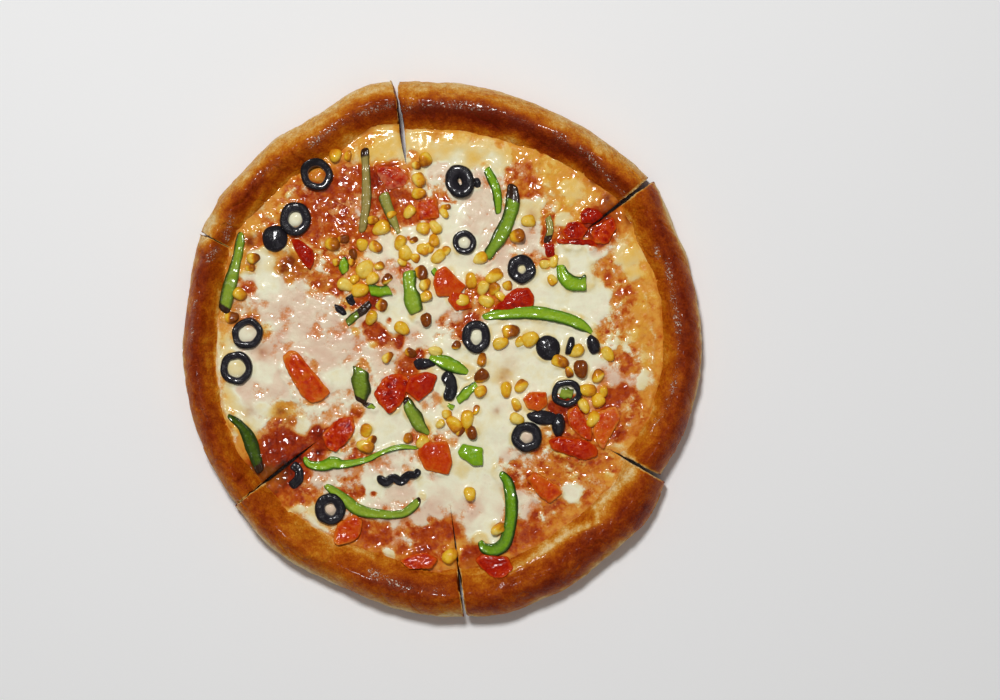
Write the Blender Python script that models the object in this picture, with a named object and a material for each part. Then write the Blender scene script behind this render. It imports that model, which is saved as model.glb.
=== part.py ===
"""A pan pizza cut into six slices that lie in place: crust, sauce and cheese bed, toppings.

Metres, +Z up. The pizza lies on z = 0 with its outline centred on the origin, and it is
seen from above as in the photograph, with +Y towards the top of the picture.
"""

import math

import bpy
from mathutils import Vector

MM = 0.001

# Main heights, in millimetres above the surface that the pizza lies on.
DOUGH_TOP = 13.0
BED_THICKNESS = 4.2
CREST_HEIGHT = 26.0
CREST_LUMP = 0.8
PIECE_GAP = 0.4
TOPPING_GAP = 0.5
BED_WAVE = 0.35
BED_EDGE_RISE = 1.0
BED_EDGE_SPAN = 9.0
FUSED_DEPTH = 1.6

# The three straight cuts cross here. Each cut is (angle, ((distance, gap), ...)).
CUT_CENTRE = (-6.1, -1.6)
CUTS = {
    "top": (97.3, ((0, 0.4), (100, 0.4), (109, 2.4), (118, 3.2), (136, 0.6), (147, 4.0))),
    "upper_left": (152.5, ((0, 0.4), (128, 0.4), (140, 1.4))),
    "lower_left": (218.2, ((0, 0.4), (76, 0.5), (95, 2.4), (110, 2.2), (118, 0.6), (133, 0.8))),
    "bottom": (277.5, ((0, 0.4), (80, 0.4), (118, 1.8), (142, 2.2))),
    "lower_right": (331.5, ((0, 0.4), (108, 0.4), (120, 2.0), (141, 3.2))),
    "upper_right": (38.0, ((0, 0.4), (100, 0.4), (124, 2.2), (149, 3.8))),
}

# Each slice: its first and last cut going counterclockwise, the rim's radius from the cut
# centre at eight evenly spaced angles, and the rim's width at three.
SLICES = {
    "upper_left": (
        "top",
        "upper_left",
        (147.0, 146.0, 141.2, 139.8, 140.3, 139.6, 140.2, 138.3),
        (26.0, 24.0, 20.0),
    ),
    "left": (
        "upper_left",
        "lower_left",
        (138.5, 134.6, 132.5, 132.1, 132.1, 132.0, 131.7, 131.5),
        (20.0, 19.0, 20.0),
    ),
    "lower_left": (
        "lower_left",
        "bottom",
        (132.4, 133.8, 134.6, 134.3, 135.2, 136.8, 139.9, 142.3),
        (21.0, 25.0, 26.5),
    ),
    "lower_right": (
        "bottom",
        "lower_right",
        (142.3, 145.1, 145.1, 145.4, 144.7, 145.0, 146.1, 143.1),
        (26.5, 29.0, 26.0),
    ),
    "right": (
        "lower_right",
        "upper_right",
        (139.1, 142.4, 143.1, 144.4, 144.7, 145.1, 146.0, 150.0),
        (24.0, 20.5, 22.0),
    ),
    "upper_right": (
        "upper_right",
        "top",
        (149.1, 146.8, 145.1, 143.6, 143.7, 143.7, 143.6, 145.7),
        (22.0, 25.0, 27.0),
    ),
}
COLUMNS = 15

# Rings of the bare dough inside the rim, as shares of the inner edge's radius, then two
# distances from that edge: the foot of the rim's inner slope and where the bed ends.
INNER_SHARES = (0.2, 0.4, 0.58, 0.76)
SLOPE_FOOT = -6.0
BED_EDGE = 1.2
BED_EDGE_HEIGHT = 17.2
# The rim from the inside out: share of its width in from the outline, share of its height.
RIM_PROFILE = ((0.72, 0.86), (0.47, 1.0), (0.24, 0.89), (0.07, 0.62))
OUTER_WALL = ((0.0, 8.0), (0.9, 2.4), (3.5, 0.0))

# Olive slices: name, x, y, length, width, turn, hole, height.
OLIVES = (
    ("olive_ring_1", -66.1, 92.4, 17.3, 16.7, 0, 9.5, 4.8),
    ("olive_ring_2", -77.5, 68.9, 17.0, 17.0, 0, 8.0, 4.8),
    ("olive_cap_3", -90.1, 57.2, 13.8, 14.3, 0, 0.0, 4.8),
    ("olive_ring_4", -102.9, 8.3, 16.5, 16.5, 0, 10.1, 4.2),
    ("olive_ring_5", -108.7, -10.1, 17.0, 18.0, 10, 10.6, 4.2),
    ("olive_ring_6", 9.7, 88.9, 15.9, 18.6, 10, 4.8, 4.2),
    ("olive_ring_7", 12.1, 56.5, 13.0, 12.7, 0, 5.8, 3.7),
    ("olive_ring_8", 42.5, 42.4, 15.6, 15.4, 0, 4.8, 4.2),
    ("olive_ring_9", 18.4, 6.5, 15.9, 17.5, 10, 7.4, 4.2),
    ("olive_cap_10", 56.6, 0.5, 13.2, 13.8, 20, 0.0, 4.8),
    ("olive_ring_12", 66.3, -23.6, 15.6, 14.8, 0, 7.4, 4.2),
    ("olive_ring_13", 45.2, -46.6, 16.4, 16.4, 0, 6.4, 4.2),
    ("olive_cap_14", 62.0, -40.3, 7.2, 12.7, 0, 0.0, 4.8),
    ("olive_ring_15", -59.1, -84.8, 17.0, 17.0, 0, 5.8, 4.2),
)
# Strips: name, width, height, centre line.
STRIPS = (
    ("olive_arc_17", 4.0, 3.7, ((0.3, -13.8), (4.5, -15.9), (5.6, -20.7), (2.9, -26.0))),
    (
        "olive_wave_18",
        4.2,
        3.7,
        ((-34.7, -67.8), (-27.8, -70.0), (-21.5, -68.4), (-16.2, -66.8)),
    ),
    (
        "pepper_strip_1",
        5.8,
        3.7,
        ((-105.7, 61.5), (-107.9, 52.5), (-110.5, 42.9), (-114.2, 30.7), (-116.9, 19.6)),
    ),
    (
        "pepper_strip_2",
        4.2,
        3.2,
        ((-40.5, 105.5), (-39.5, 88.5), (-42.1, 76.3), (-44.8, 66.2)),
    ),
    ("pepper_strip_4", 4.2, 3.2, ((24.4, 93.8), (28.2, 85.9), (29.3, 75.3), (27.2, 65.2))),
    (
        "pepper_strip_5",
        6.4,
        3.7,
        ((38.9, 86.4), (37.3, 75.8), (33.9, 64.1), (27.9, 55.9), (23.3, 49.3)),
    ),
    ("pepper_crescent_6", 6.9, 3.7, ((64.4, 44.5), (66.5, 37.1), (71.8, 32.9), (77.6, 35.0))),
    (
        "pepper_arc_7",
        5.4,
        3.7,
        ((30.5, 18.6), (36.8, 18.9), (50.4, 19.4), (63.9, 17.6), (75.8, 14.3), (80.3, 11.6)),
    ),
    ("pepper_strip_10", 9.0, 4.8, ((-16.8, 39.2), (-16.4, 30.2), (-15.7, 20.7))),
    ("pepper_fold_11", 8.5, 4.2, ((-42.8, -12.7), (-42.4, -19.6), (-41.3, -26.5))),
    ("pepper_strip_12", 5.3, 3.7, ((-1.3, -6.4), (5.6, -8.0), (12.5, -11.1))),
    ("pepper_strip_14", 5.3, 3.7, ((-17.0, -33.1), (-13.0, -37.6), (-7.7, -44.8))),
    (
        "pepper_thin_15",
        3.2,
        2.7,
        (
            (-72.6, -57.8),
            (-68.3, -62.0),
            (-59.1, -60.7),
            (-45.5, -59.4),
            (-29.4, -54.6),
            (-22.2, -53.0),
            (-16.2, -53.0),
        ),
    ),
    (
        "pepper_arc_16",
        4.8,
        3.2,
        (
            (-58.6, -71.0),
            (-50.6, -75.3),
            (-41.6, -82.9),
            (-29.4, -87.2),
            (-19.3, -86.9),
            (-11.9, -81.6),
        ),
    ),
    ("pepper_block_17", 9.0, 4.2, ((12.5, -56.2), (19.3, -56.2))),
    (
        "pepper_hook_18",
        5.3,
        3.2,
        (
            (31.5, -65.7),
            (35.8, -75.3),
            (37.4, -86.9),
            (35.8, -97.5),
            (32.6, -103.6),
            (26.2, -106.0),
            (20.9, -103.9),
        ),
    ),
    (
        "pepper_rim_19",
        5.8,
        3.2,
        ((-110.0, -35.6), (-104.6, -42.9), (-99.3, -53.5), (-95.2, -62.6)),
    ),
)
# Tomato pieces: name, height, corners.
TOMATOES = (
    ("tomato_1", 4.2, ((-79.2, 56.2), (-69.7, 40.8), (-63.9, 44.0), (-74.5, 57.8))),
    ("tomato_2", 4.2, ((-85.4, -13.0), (-66.4, -36.4), (-57.7, -29.4), (-76.7, -6.0))),
    ("tomato_3", 3.7, ((-35.8, 94.3), (-29.9, 84.8), (-17.7, 89.5), (-22.5, 97.5))),
    ("tomato_5", 4.8, ((-4.0, 42.9), (2.9, 28.6), (11.4, 40.3))),
    ("tomato_7", 4.2, ((29.4, 25.4), (46.9, 23.4), (51.1, 27.6), (40.0, 32.6))),
    ("tomato_8", 4.2, ((76.0, 66.0), (85.9, 69.6), (83.0, 77.6), (73.1, 74.0))),
    ("tomato_10", 4.2, ((83.2, 54.2), (94.2, 58.2), (91.1, 66.6), (80.2, 62.7))),
    ("tomato_12", 4.8, ((-55.9, -56.0), (-43.1, -41.8), (-52.2, -33.6), (-65.0, -47.8))),
    ("tomato_13", 4.8, ((-36.3, -26.5), (-28.4, -33.9), (-20.9, -24.4), (-29.4, -18.0))),
    ("tomato_14", 4.8, ((-18.8, -17.0), (-11.4, -28.1), (-2.9, -19.6), (-8.7, -12.7))),
    ("tomato_15", 4.8, ((-9.8, -48.2), (-6.6, -67.3), (5.0, -62.5), (1.3, -46.6))),
    ("tomato_16", 4.2, ((-51.0, -106.9), (-38.2, -99.5), (-45.3, -87.1), (-58.2, -94.5))),
    ("tomato_17", 4.2, ((-22.3, -117.0), (0.4, -115.1), (-0.5, -105.6), (-23.2, -107.5))),
    ("tomato_18", 4.2, ((18.9, -121.4), (38.4, -119.7), (37.5, -109.7), (18.0, -111.4))),
    ("tomato_19", 4.8, ((42.3, -73.2), (56.1, -84.8), (66.0, -73.0), (52.2, -61.5))),
    ("tomato_21", 4.2, ((44.6, -32.0), (54.6, -33.2), (54.5, -22.8), (45.0, -22.8))),
    ("tomato_20", 4.2, ((58.0, -62.1), (83.6, -55.2), (80.9, -45.0), (55.3, -51.8))),
)
# Small pieces that are one body with the bed they lie on.
FUSED_STRIPS = (
    ("pepper_strip_3", 4.8, 3.2, ((-29.9, 81.7), (-26.8, 74.7), (-24.4, 67.8))),
    ("pepper_barrel_8", 6.4, 4.2, ((-35.8, 30.5), (-29.4, 30.5))),
    ("pepper_strip_9", 4.8, 3.2, ((-50.2, 14.6), (-45.9, 14.0))),
    ("pepper_strip_13", 4.8, 3.2, ((18.3, -20.3), (13.5, -24.4), (10.3, -28.2))),
    ("olive_arc_19", 5.3, 3.7, ((-76.7, -70.7), (-78.4, -73.0), (-81.2, -75.1))),
)
FUSED_CHUNKS = (
    ("olive_cap_16", 3.7, ((-14.0, -12.8), (-7.8, -12.6), (-7.6, -8.8), (-11.6, -8.6))),
    ("olive_cap_11", 3.7, ((76.4, -2.8), (84.8, -2.8), (84.8, 6.2), (76.4, 6.2))),
    ("tomato_6", 4.2, ((2.7, 19.9), (14.0, 16.9), (16.3, 25.6), (5.1, 28.7))),
    ("tomato_9", 4.2, ((62.5, 59.8), (70.9, 61.6), (70.1, 68.4), (61.2, 66.6))),
    ("tomato_11", 3.7, ((53.7, 50.6), (60.0, 52.0), (60.0, 58.5), (53.7, 58.5))),
    ("tomato_4", 4.2, ((-12.2, 67.9), (-1.2, 68.9), (-2.0, 77.9), (-12.8, 76.9))),
    ("tomato_22", 3.7, ((72.2, -41.8), (79.5, -41.8), (78.6, -35.4), (71.2, -35.7))),
    ("tomato_23", 3.7, ((87.7, -46.2), (94.6, -45.6), (93.0, -31.1), (86.2, -31.7))),
)
KERNEL_SIZE = (4.2, 3.6, 2.7)
KERNEL_LIFT = 0.9
KERNELS = (
    (-33.1, 64.1), (-41.1, 55.4), (-34.9, 54.1), (-21.7, 57.2), (-19.3, 51.9),
    (-41.1, 42.9), (-35.2, 38.7), (-51.4, 35.0), (-43.7, 32.3), (-31.5, 21.7),
    (-20.6, 11.6), (-4.9, 28.0), (-3.3, 16.0), (17.2, 36.0), (-8.4, 55.6),
    (-4.0, 57.8), (-2.9, 48.8), (-27.8, 38.7), (-27.8, -4.2), (-17.8, -2.7),
    (6.5, 1.9), (-56.4, 55.1), (-8.7, 100.7), (-11.9, 89.6), (-54.0, 97.8),
    (46.4, 68.4), (40.0, 58.3), (57.0, 36.0), (27.8, 37.6), (23.9, 28.4),
    (36.3, 9.5), (43.2, 9.5), (45.3, 4.2), (31.5, 3.7), (71.8, -1.6),
    (73.4, -9.5), (89.3, -3.2), (84.5, -15.4), (21.9, -11.1), (36.4, -19.0),
    (37.9, -31.2), (14.0, -37.6), (16.7, -44.0), (11.4, -42.4), (-41.1, -51.4),
    (-36.3, -48.8), (-17.8, -59.4), (3.8, -38.6), (7.7, -40.8), (15.1, -76.7),
    (-106.8, 28.9), (-51.4, 44.5),
)

COLOURS = {
    "crust": ((0.34, 0.11, 0.028), 0.55),
    "bed": ((0.68, 0.55, 0.33), 0.45),
    "olive": ((0.022, 0.019, 0.021), 0.3),
    "pepper": ((0.15, 0.26, 0.015), 0.35),
    "tomato": ((0.33, 0.025, 0.008), 0.35),
}


def clear_scene():
    for obj in list(bpy.data.objects):
        bpy.data.objects.remove(obj, do_unlink=True)


def make_materials():
    made = {}
    for name, (colour, roughness) in COLOURS.items():
        material = bpy.data.materials.new(name)
        material.use_nodes = True
        shader = material.node_tree.nodes["Principled BSDF"]
        shader.inputs["Base Color"].default_value = (*colour, 1.0)
        shader.inputs["Roughness"].default_value = roughness
        made[name] = material
    return made


def make_object(name, points, faces, material):
    """A mesh object from points in millimetres, with its faces turned outwards."""
    mesh = bpy.data.meshes.new(name)
    mesh.from_pydata([Vector(point) * MM for point in points], [], faces)
    mesh.update()
    obj = bpy.data.objects.new(name, mesh)
    bpy.context.scene.collection.objects.link(obj)
    obj.data.materials.append(material)
    return obj


def smooth_values(values, share):
    """The value at a share (0 to 1) along evenly spaced values, on a smooth curve."""
    place = min(max(share, 0.0), 1.0) * (len(values) - 1)
    low = min(int(place), len(values) - 2)
    t = place - low
    p1, p2 = values[low], values[low + 1]
    p0 = values[low - 1] if low > 0 else 2 * p1 - p2
    p3 = values[low + 2] if low + 2 < len(values) else 2 * p2 - p1
    bend = (2 * p0 - 5 * p1 + 4 * p2 - p3) * t * t
    twist = (-p0 + 3 * p1 - 3 * p2 + p3) * t * t * t
    return p1 + 0.5 * ((p2 - p0) * t + bend + twist)


def table_value(table, distance):
    """Straight-line value of a ((distance, value), ...) table."""
    for (d0, v0), (d1, v1) in zip(table, table[1:]):
        if distance <= d1:
            return v0 + (v1 - v0) * (distance - d0) / (d1 - d0)
    return table[-1][1]


def slice_angles(key):
    first, last = CUTS[SLICES[key][0]][0], CUTS[SLICES[key][1]][0]
    return first, last + 360 if last < first else last


def rim_at(key, share):
    """(outer radius, rim width) at a share of the slice's angle."""
    return smooth_values(SLICES[key][2], share), smooth_values(SLICES[key][3], share)


def slice_at(x, y):
    """The slice at a spot, and the spot's share of that slice's angle."""
    angle = math.degrees(math.atan2(y - CUT_CENTRE[1], x - CUT_CENTRE[0]))
    for key in SLICES:
        first, last = slice_angles(key)
        turned = (angle - first) % 360
        if turned <= last - first:
            return key, turned / (last - first)
    return "upper_left", 0.0


def waves(x, y):
    return BED_WAVE * (math.sin(x / 11 + 0.8) * math.cos(y / 10) + 0.6 * math.sin((x + y) / 15))


def bed_height(x, y):
    """Height of the cheese at a spot: a thin wavy layer that rises to the rim."""
    key, share = slice_at(x, y)
    outer, width = rim_at(key, share)
    edge = outer - width + BED_EDGE
    reach = math.hypot(x - CUT_CENTRE[0], y - CUT_CENTRE[1])
    near = min(max((reach - edge + BED_EDGE_SPAN) / BED_EDGE_SPAN, 0.0), 1.0)
    flat = DOUGH_TOP + PIECE_GAP + BED_THICKNESS + waves(x, y)
    return flat + (BED_EDGE_HEIGHT + PIECE_GAP + BED_EDGE_RISE - flat) * near * near


def surface_height(x, y):
    """Height of what a topping lies on: the cheese, or the rim's inner slope past its edge."""
    key, share = slice_at(x, y)
    outer, width = rim_at(key, share)
    reach = math.hypot(x - CUT_CENTRE[0], y - CUT_CENTRE[1])
    edge = outer - width + BED_EDGE
    if reach <= edge:
        return bed_height(x, y)
    slope = [(edge, BED_EDGE_HEIGHT + PIECE_GAP + BED_EDGE_RISE)]
    slope += [(outer - width * part, CREST_HEIGHT * high + CREST_LUMP) for part, high in RIM_PROFILE]
    return table_value(slope, reach)


def slice_spot(key, share, distance):
    """Plan position in a slice: its sides stand back from the cuts by half of each gap."""
    first, last = slice_angles(key)
    angle = math.radians(first + (last - first) * share)
    x = CUT_CENTRE[0] + distance * math.cos(angle)
    y = CUT_CENTRE[1] + distance * math.sin(angle)
    for cut, side, weight in (
        (SLICES[key][0], 1, (1 - share) ** 2),
        (SLICES[key][1], -1, share**2),
    ):
        turn = math.radians(CUTS[cut][0])
        back = side * weight * table_value(CUTS[cut][1], distance) / 2
        x -= back * math.sin(turn)
        y += back * math.cos(turn)
    return x, y


def slice_tip(key):
    """The slice's point, set back so that it clears the other five."""
    first, last = slice_angles(key)
    middle = math.radians((first + last) / 2)
    back = 0.5 * PIECE_GAP / math.sin(math.radians((last - first) / 2)) + 0.15
    return CUT_CENTRE[0] + back * math.cos(middle), CUT_CENTRE[1] + back * math.sin(middle)


def inner_rings(key, share):
    """Distance and bare dough height of each ring inside the rim."""
    outer, width = rim_at(key, share)
    inner = outer - width
    rings = [(inner * part, DOUGH_TOP) for part in INNER_SHARES]
    rings.append((inner + SLOPE_FOOT, DOUGH_TOP))
    rings.append((inner + BED_EDGE, BED_EDGE_HEIGHT))
    return rings


def rim_rings(key, share):
    """Distance and height of each ring from the crest down to the rim's foot."""
    outer, width = rim_at(key, share)
    first = slice_angles(key)[0]
    lump = CREST_LUMP * math.sin((first + 60 * share) / 6.5) * math.sin(share * math.pi)
    crest = CREST_HEIGHT + lump
    rings = [(outer - width * part, crest * high) for part, high in RIM_PROFILE]
    return rings + [(outer - back, height) for back, height in OUTER_WALL]


def layered_solid(name, key, ring_lists, material):
    """A solid between radial chains of points that run from the tip and back to it.

    ring_lists holds, for each column, (upper chain, lower chain): the upper one runs from
    the tip outwards, and the lower one from there back towards the tip.
    """
    tip = slice_tip(key)
    upper, lower = ring_lists[0]
    tip_top = (*tip, upper[0][2])
    tip_low = (*tip, lower[-1][2])
    points = [tip_top, tip_low]
    chain = len(upper) - 1 + len(lower) - 1
    for high, low in ring_lists:
        points += [point for point in high[1:]] + [point for point in low[:-1]]
    faces = []
    for column in range(len(ring_lists) - 1):
        a = 2 + column * chain
        b = a + chain
        faces.append((0, a, b))
        faces += [(a + k, a + k + 1, b + k + 1, b + k) for k in range(chain - 1)]
        faces.append((a + chain - 1, 1, b + chain - 1))
    last = 2 + (len(ring_lists) - 1) * chain
    faces.append((0, 1, *range(2 + chain - 1, 1, -1)))
    faces.append((1, 0, *range(last, last + chain)))
    return make_object(name, points, faces, material)


def chain_points(key, share, rings, lift=0.0):
    return [(*slice_spot(key, share, distance), height + lift) for distance, height in rings]


def make_dough(key, material):
    columns = []
    for column in range(COLUMNS):
        share = column / (COLUMNS - 1)
        rings = inner_rings(key, share) + rim_rings(key, share)
        chain = chain_points(key, share, rings)
        columns.append(([(0, 0, DOUGH_TOP)] + chain, [(0, 0, 0.0)]))
    return layered_solid("dough_" + key, key, columns, material)


def make_bed(key, material):
    """The sauce and melted cheese of one slice: its underside follows the dough."""
    tip_height = bed_height(*slice_tip(key))
    columns = []
    for column in range(COLUMNS):
        share = column / (COLUMNS - 1)
        rings = inner_rings(key, share)
        under = chain_points(key, share, rings, PIECE_GAP)
        top = [(x, y, bed_height(x, y)) for x, y, _ in under]
        low = [*reversed(under), (0, 0, DOUGH_TOP + PIECE_GAP)]
        columns.append(([(0, 0, tip_height)] + top, low))
    return layered_solid("bed_" + key, key, columns, material)


def loops_solid(name, loops, material, base, closed_ring=False):
    """Skins loops of (x, y, lift) points; each lift is above the surface there."""
    count = len(loops[0])
    points = [(x, y, surface_height(x, y) + base + z) for loop in loops for x, y, z in loop]
    faces = []
    rounds = len(loops) if closed_ring else len(loops) - 1
    for k in range(rounds):
        a, b = k * count, (k + 1) % len(loops) * count
        for i in range(count):
            j = (i + 1) % count
            faces.append((a + i, a + j, b + j, b + i))
    if not closed_ring:
        faces.append(tuple(range(count - 1, -1, -1)))
        faces.append(tuple(range((len(loops) - 1) * count, len(loops) * count)))
    return make_object(name, points, faces, material)


def oval(x, y, length, width, turn, inset, count):
    """Points round an oval, inset from its edge, counterclockwise."""
    c, s = math.cos(math.radians(turn)), math.sin(math.radians(turn))
    found = []
    for k in range(count):
        angle = math.tau * k / count
        u = (length / 2 - inset) * math.cos(angle)
        v = (width / 2 - inset) * math.sin(angle)
        found.append((x + u * c - v * s, y + u * s + v * c))
    return found


def olive_slice(name, x, y, length, width, turn, hole, height, material):
    """An olive ring, or a cap where the hole is 0."""
    base = TOPPING_GAP
    wall = (min(length, width) - hole) / 2
    if hole == 0.0:
        steps = ((0.8, 0.0), (0.0, 0.45), (0.25 * wall, 0.88), (0.62 * wall, 1.0))
        loops = []
        for inset, high in steps:
            ring = oval(x, y, length, width, turn, inset, 12)
            loops.append([(px, py, high * height) for px, py in ring])
        return loops_solid(name, loops, material, base)
    section = ((0.14, 0.0), (0.0, 0.5), (0.4, 1.0), (1.0, 0.6), (0.9, 0.0))
    loops = []
    for share, high in section:
        ring = oval(x, y, length, width, turn, share * wall, 12)
        loops.append([(px, py, high * height) for px, py in ring])
    return loops_solid(name, loops, material, base, closed_ring=True)


def path_spots(path, steps):
    """Evenly shared spots along a smooth curve through the path's points."""
    xs = [point[0] for point in path]
    ys = [point[1] for point in path]
    shares = [k / (steps - 1) for k in range(steps)]
    return [(smooth_values(xs, share), smooth_values(ys, share)) for share in shares]


def strip(name, width, height, path, material, base=TOPPING_GAP, low=0.0):
    """A strip with a rounded top along a path, a little narrower at its ends."""
    spots = path_spots(path, max(4, 2 * len(path) - 1))
    section = ((-0.42, 0.0), (0.42, 0.0), (0.5, 0.45), (0.28, 1.0), (-0.28, 1.0), (-0.5, 0.45))
    loops = []
    for k, (x, y) in enumerate(spots):
        x0, y0 = spots[max(k - 1, 0)]
        x1, y1 = spots[min(k + 1, len(spots) - 1)]
        along = math.hypot(x1 - x0, y1 - y0)
        nx, ny = -(y1 - y0) / along, (x1 - x0) / along
        end = 0.72 if k in (0, len(spots) - 1) else 1.0
        loop = []
        for side, high in section:
            lift = high * height * end if high else low
            loop.append((x + nx * side * width * end, y + ny * side * width * end, lift))
        loops.append(loop)
    return loops_solid(name, loops, material, base)


def rounded_corners(corners, cut=0.24):
    """Each corner becomes two points on its edges."""
    found = []
    for k, (x, y) in enumerate(corners):
        for other in (corners[k - 1], corners[(k + 1) % len(corners)]):
            found.append((x + (other[0] - x) * cut, y + (other[1] - y) * cut))
    return found


def chunk(name, height, corners, material, base=TOPPING_GAP, low=0.0):
    """A diced piece with rounded corners and a domed top."""
    outline = rounded_corners(corners)
    cx = sum(point[0] for point in outline) / len(outline)
    cy = sum(point[1] for point in outline) / len(outline)
    loops = []
    for share, high in ((0.92, 0.0), (1.0, 0.5), (0.84, 0.9), (0.45, 1.0)):
        lift = high * height if high else low
        loops.append([(cx + (x - cx) * share, cy + (y - cy) * share, lift) for x, y in outline])
    return loops_solid(name, loops, material, base)


def middle_of(corners):
    count = len(corners)
    return sum(x for x, _ in corners) / count, sum(y for _, y in corners) / count


def kernel(index, x, y):
    """A corn kernel half sunk in the cheese, turned by its number."""
    height = bed_height(x, y) + KERNEL_LIFT
    bpy.ops.mesh.primitive_uv_sphere_add(
        segments=6,
        ring_count=4,
        radius=MM,
        location=(x * MM, y * MM, height * MM),
        rotation=(0.0, 0.0, index * 1.3),
        scale=KERNEL_SIZE,
    )
    return bpy.context.object


def fuse(bed, pieces):
    """One union of the bed with all the small pieces that lie on it."""
    if not pieces:
        return
    group = bpy.data.collections.new("fused_with_" + bed.name)
    for piece in pieces:
        for home in list(piece.users_collection):
            home.objects.unlink(piece)
        group.objects.link(piece)
    bpy.context.scene.collection.children.link(group)
    union = bed.modifiers.new("small_toppings", "BOOLEAN")
    union.operation = "UNION"
    union.operand_type = "COLLECTION"
    union.collection = group
    union.solver = "EXACT"
    bpy.ops.object.select_all(action="DESELECT")
    bpy.context.view_layer.objects.active = bed
    bed.select_set(True)
    bpy.ops.object.modifier_apply(modifier=union.name)
    for piece in pieces:
        bpy.data.objects.remove(piece, do_unlink=True)
    bpy.data.collections.remove(group)


def small_pieces(materials):
    """Every small piece with the slice it belongs to."""
    found = []
    for index, (x, y) in enumerate(KERNELS):
        found.append((slice_at(x, y)[0], kernel(index, x, y)))
    for name, width, height, path in FUSED_STRIPS:
        piece = strip(name, width, height, path, materials["bed"], 0.0, -FUSED_DEPTH)
        found.append((slice_at(*path[len(path) // 2])[0], piece))
    for name, height, corners in FUSED_CHUNKS:
        piece = chunk(name, height, corners, materials["bed"], 0.0, -FUSED_DEPTH)
        found.append((slice_at(*middle_of(corners))[0], piece))
    return found


def main():
    clear_scene()
    materials = make_materials()
    fused = small_pieces(materials)
    for key in SLICES:
        make_dough(key, materials["crust"])
        bed = make_bed(key, materials["bed"])
        fuse(bed, [piece for home, piece in fused if home == key])
    for row in OLIVES:
        olive_slice(*row, materials["olive"])
    for name, width, height, path in STRIPS:
        kind = "olive" if name.startswith("olive") else "pepper"
        strip(name, width, height, path, materials[kind])
    for name, height, corners in TOMATOES:
        chunk(name, height, corners, materials["tomato"])


main()
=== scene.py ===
# %% [markdown]
# # A pan pizza, cut and lying whole
# A pan pizza has a tall, soft rim that fried in the oil of its pan, a layer of red sauce,
# cheese that melted over it, and pieces of vegetable that sank a little into that cheese.
# This one is cut into six slices that still lie together. We load the plain solids first,
# because they say where each slice and each topping lies, and then give every one of them
# its real surface.

# %% Load the plain solids
import math

import bpy
import numpy as np
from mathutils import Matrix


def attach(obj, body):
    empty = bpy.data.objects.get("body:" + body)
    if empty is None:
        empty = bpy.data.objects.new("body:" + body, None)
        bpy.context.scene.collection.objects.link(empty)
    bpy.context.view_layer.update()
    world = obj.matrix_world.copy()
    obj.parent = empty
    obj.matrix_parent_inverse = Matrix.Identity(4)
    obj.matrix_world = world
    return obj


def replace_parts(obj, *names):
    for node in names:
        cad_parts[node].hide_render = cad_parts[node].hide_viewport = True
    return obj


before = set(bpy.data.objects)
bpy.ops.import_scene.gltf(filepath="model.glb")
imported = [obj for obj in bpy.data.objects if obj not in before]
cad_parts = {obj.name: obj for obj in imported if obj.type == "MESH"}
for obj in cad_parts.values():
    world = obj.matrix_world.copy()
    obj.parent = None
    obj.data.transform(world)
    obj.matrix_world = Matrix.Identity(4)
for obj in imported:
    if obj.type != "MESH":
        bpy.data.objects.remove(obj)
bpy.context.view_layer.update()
# Blender counts in metres, and the numbers below are millimetres.
MM = 0.001

# %% [markdown]
# ## The numbers of this pizza
# A pizza is easiest to describe from the point where its cuts cross: each cut is an angle
# and a gap that opens towards the rim, and each slice has its own rim, a little nearer or
# further out. The same numbers made the plain solids, so the fine surfaces fit them.

# %% Cuts and slices, in millimetres
CUT_CENTRE = (-6.1, -1.6)
CUTS = {
    "top": (97.3, ((0, 0.4), (100, 0.4), (109, 2.4), (118, 3.2), (136, 0.6), (147, 4.0))),
    "upper_left": (152.5, ((0, 0.4), (128, 0.4), (140, 1.4))),
    "lower_left": (218.2, ((0, 0.4), (76, 0.5), (95, 2.4), (110, 2.2), (118, 0.6), (133, 0.8))),
    "bottom": (277.5, ((0, 0.4), (80, 0.4), (118, 1.8), (142, 2.2))),
    "lower_right": (331.5, ((0, 0.4), (108, 0.4), (120, 2.0), (141, 3.2))),
    "upper_right": (38.0, ((0, 0.4), (100, 0.4), (124, 2.2), (149, 3.8))),
}
# Each slice: first and last cut, rim radius at eight even steps, rim width at three.
SLICES = {
    "upper_left": ("top", "upper_left",
                   (147.0, 146.0, 141.2, 139.8, 140.3, 139.6, 140.2, 138.3), (26.0, 24.0, 20.0)),
    "left": ("upper_left", "lower_left",
             (138.5, 134.6, 132.5, 132.1, 132.1, 132.0, 131.7, 131.5), (20.0, 19.0, 20.0)),
    "lower_left": ("lower_left", "bottom",
                   (132.4, 133.8, 134.6, 134.3, 135.2, 136.8, 139.9, 142.3), (21.0, 25.0, 26.5)),
    "lower_right": ("bottom", "lower_right",
                    (142.3, 145.1, 145.1, 145.4, 144.7, 145.0, 146.1, 143.1), (26.5, 29.0, 26.0)),
    "right": ("lower_right", "upper_right",
              (139.1, 142.4, 143.1, 144.4, 144.7, 145.1, 146.0, 150.0), (24.0, 20.5, 22.0)),
    "upper_right": ("upper_right", "top",
                    (149.1, 146.8, 145.1, 143.6, 143.7, 143.7, 143.6, 145.7), (22.0, 25.0, 27.0)),
}
# Heights of the dough under the cheese, of the rim's crest and of the plain cheese.
DOUGH_TOP, CREST, BED_FLAT = 13.0, 26.0, 17.6
# How far the cheese laps over the rim's inner edge, its height there, and how far from its
# edge it starts to climb.
BED_EDGE, BED_EDGE_TOP, BED_EDGE_SPAN = 1.2, 18.6, 9.0
print("slices:", ", ".join(SLICES))

# %% [markdown]
# ## Curves through a few numbers
# Eight radii for a slice would give a rim with corners. A Catmull-Rom curve passes through
# every number and bends smoothly between them, which is what soft dough does.


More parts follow.
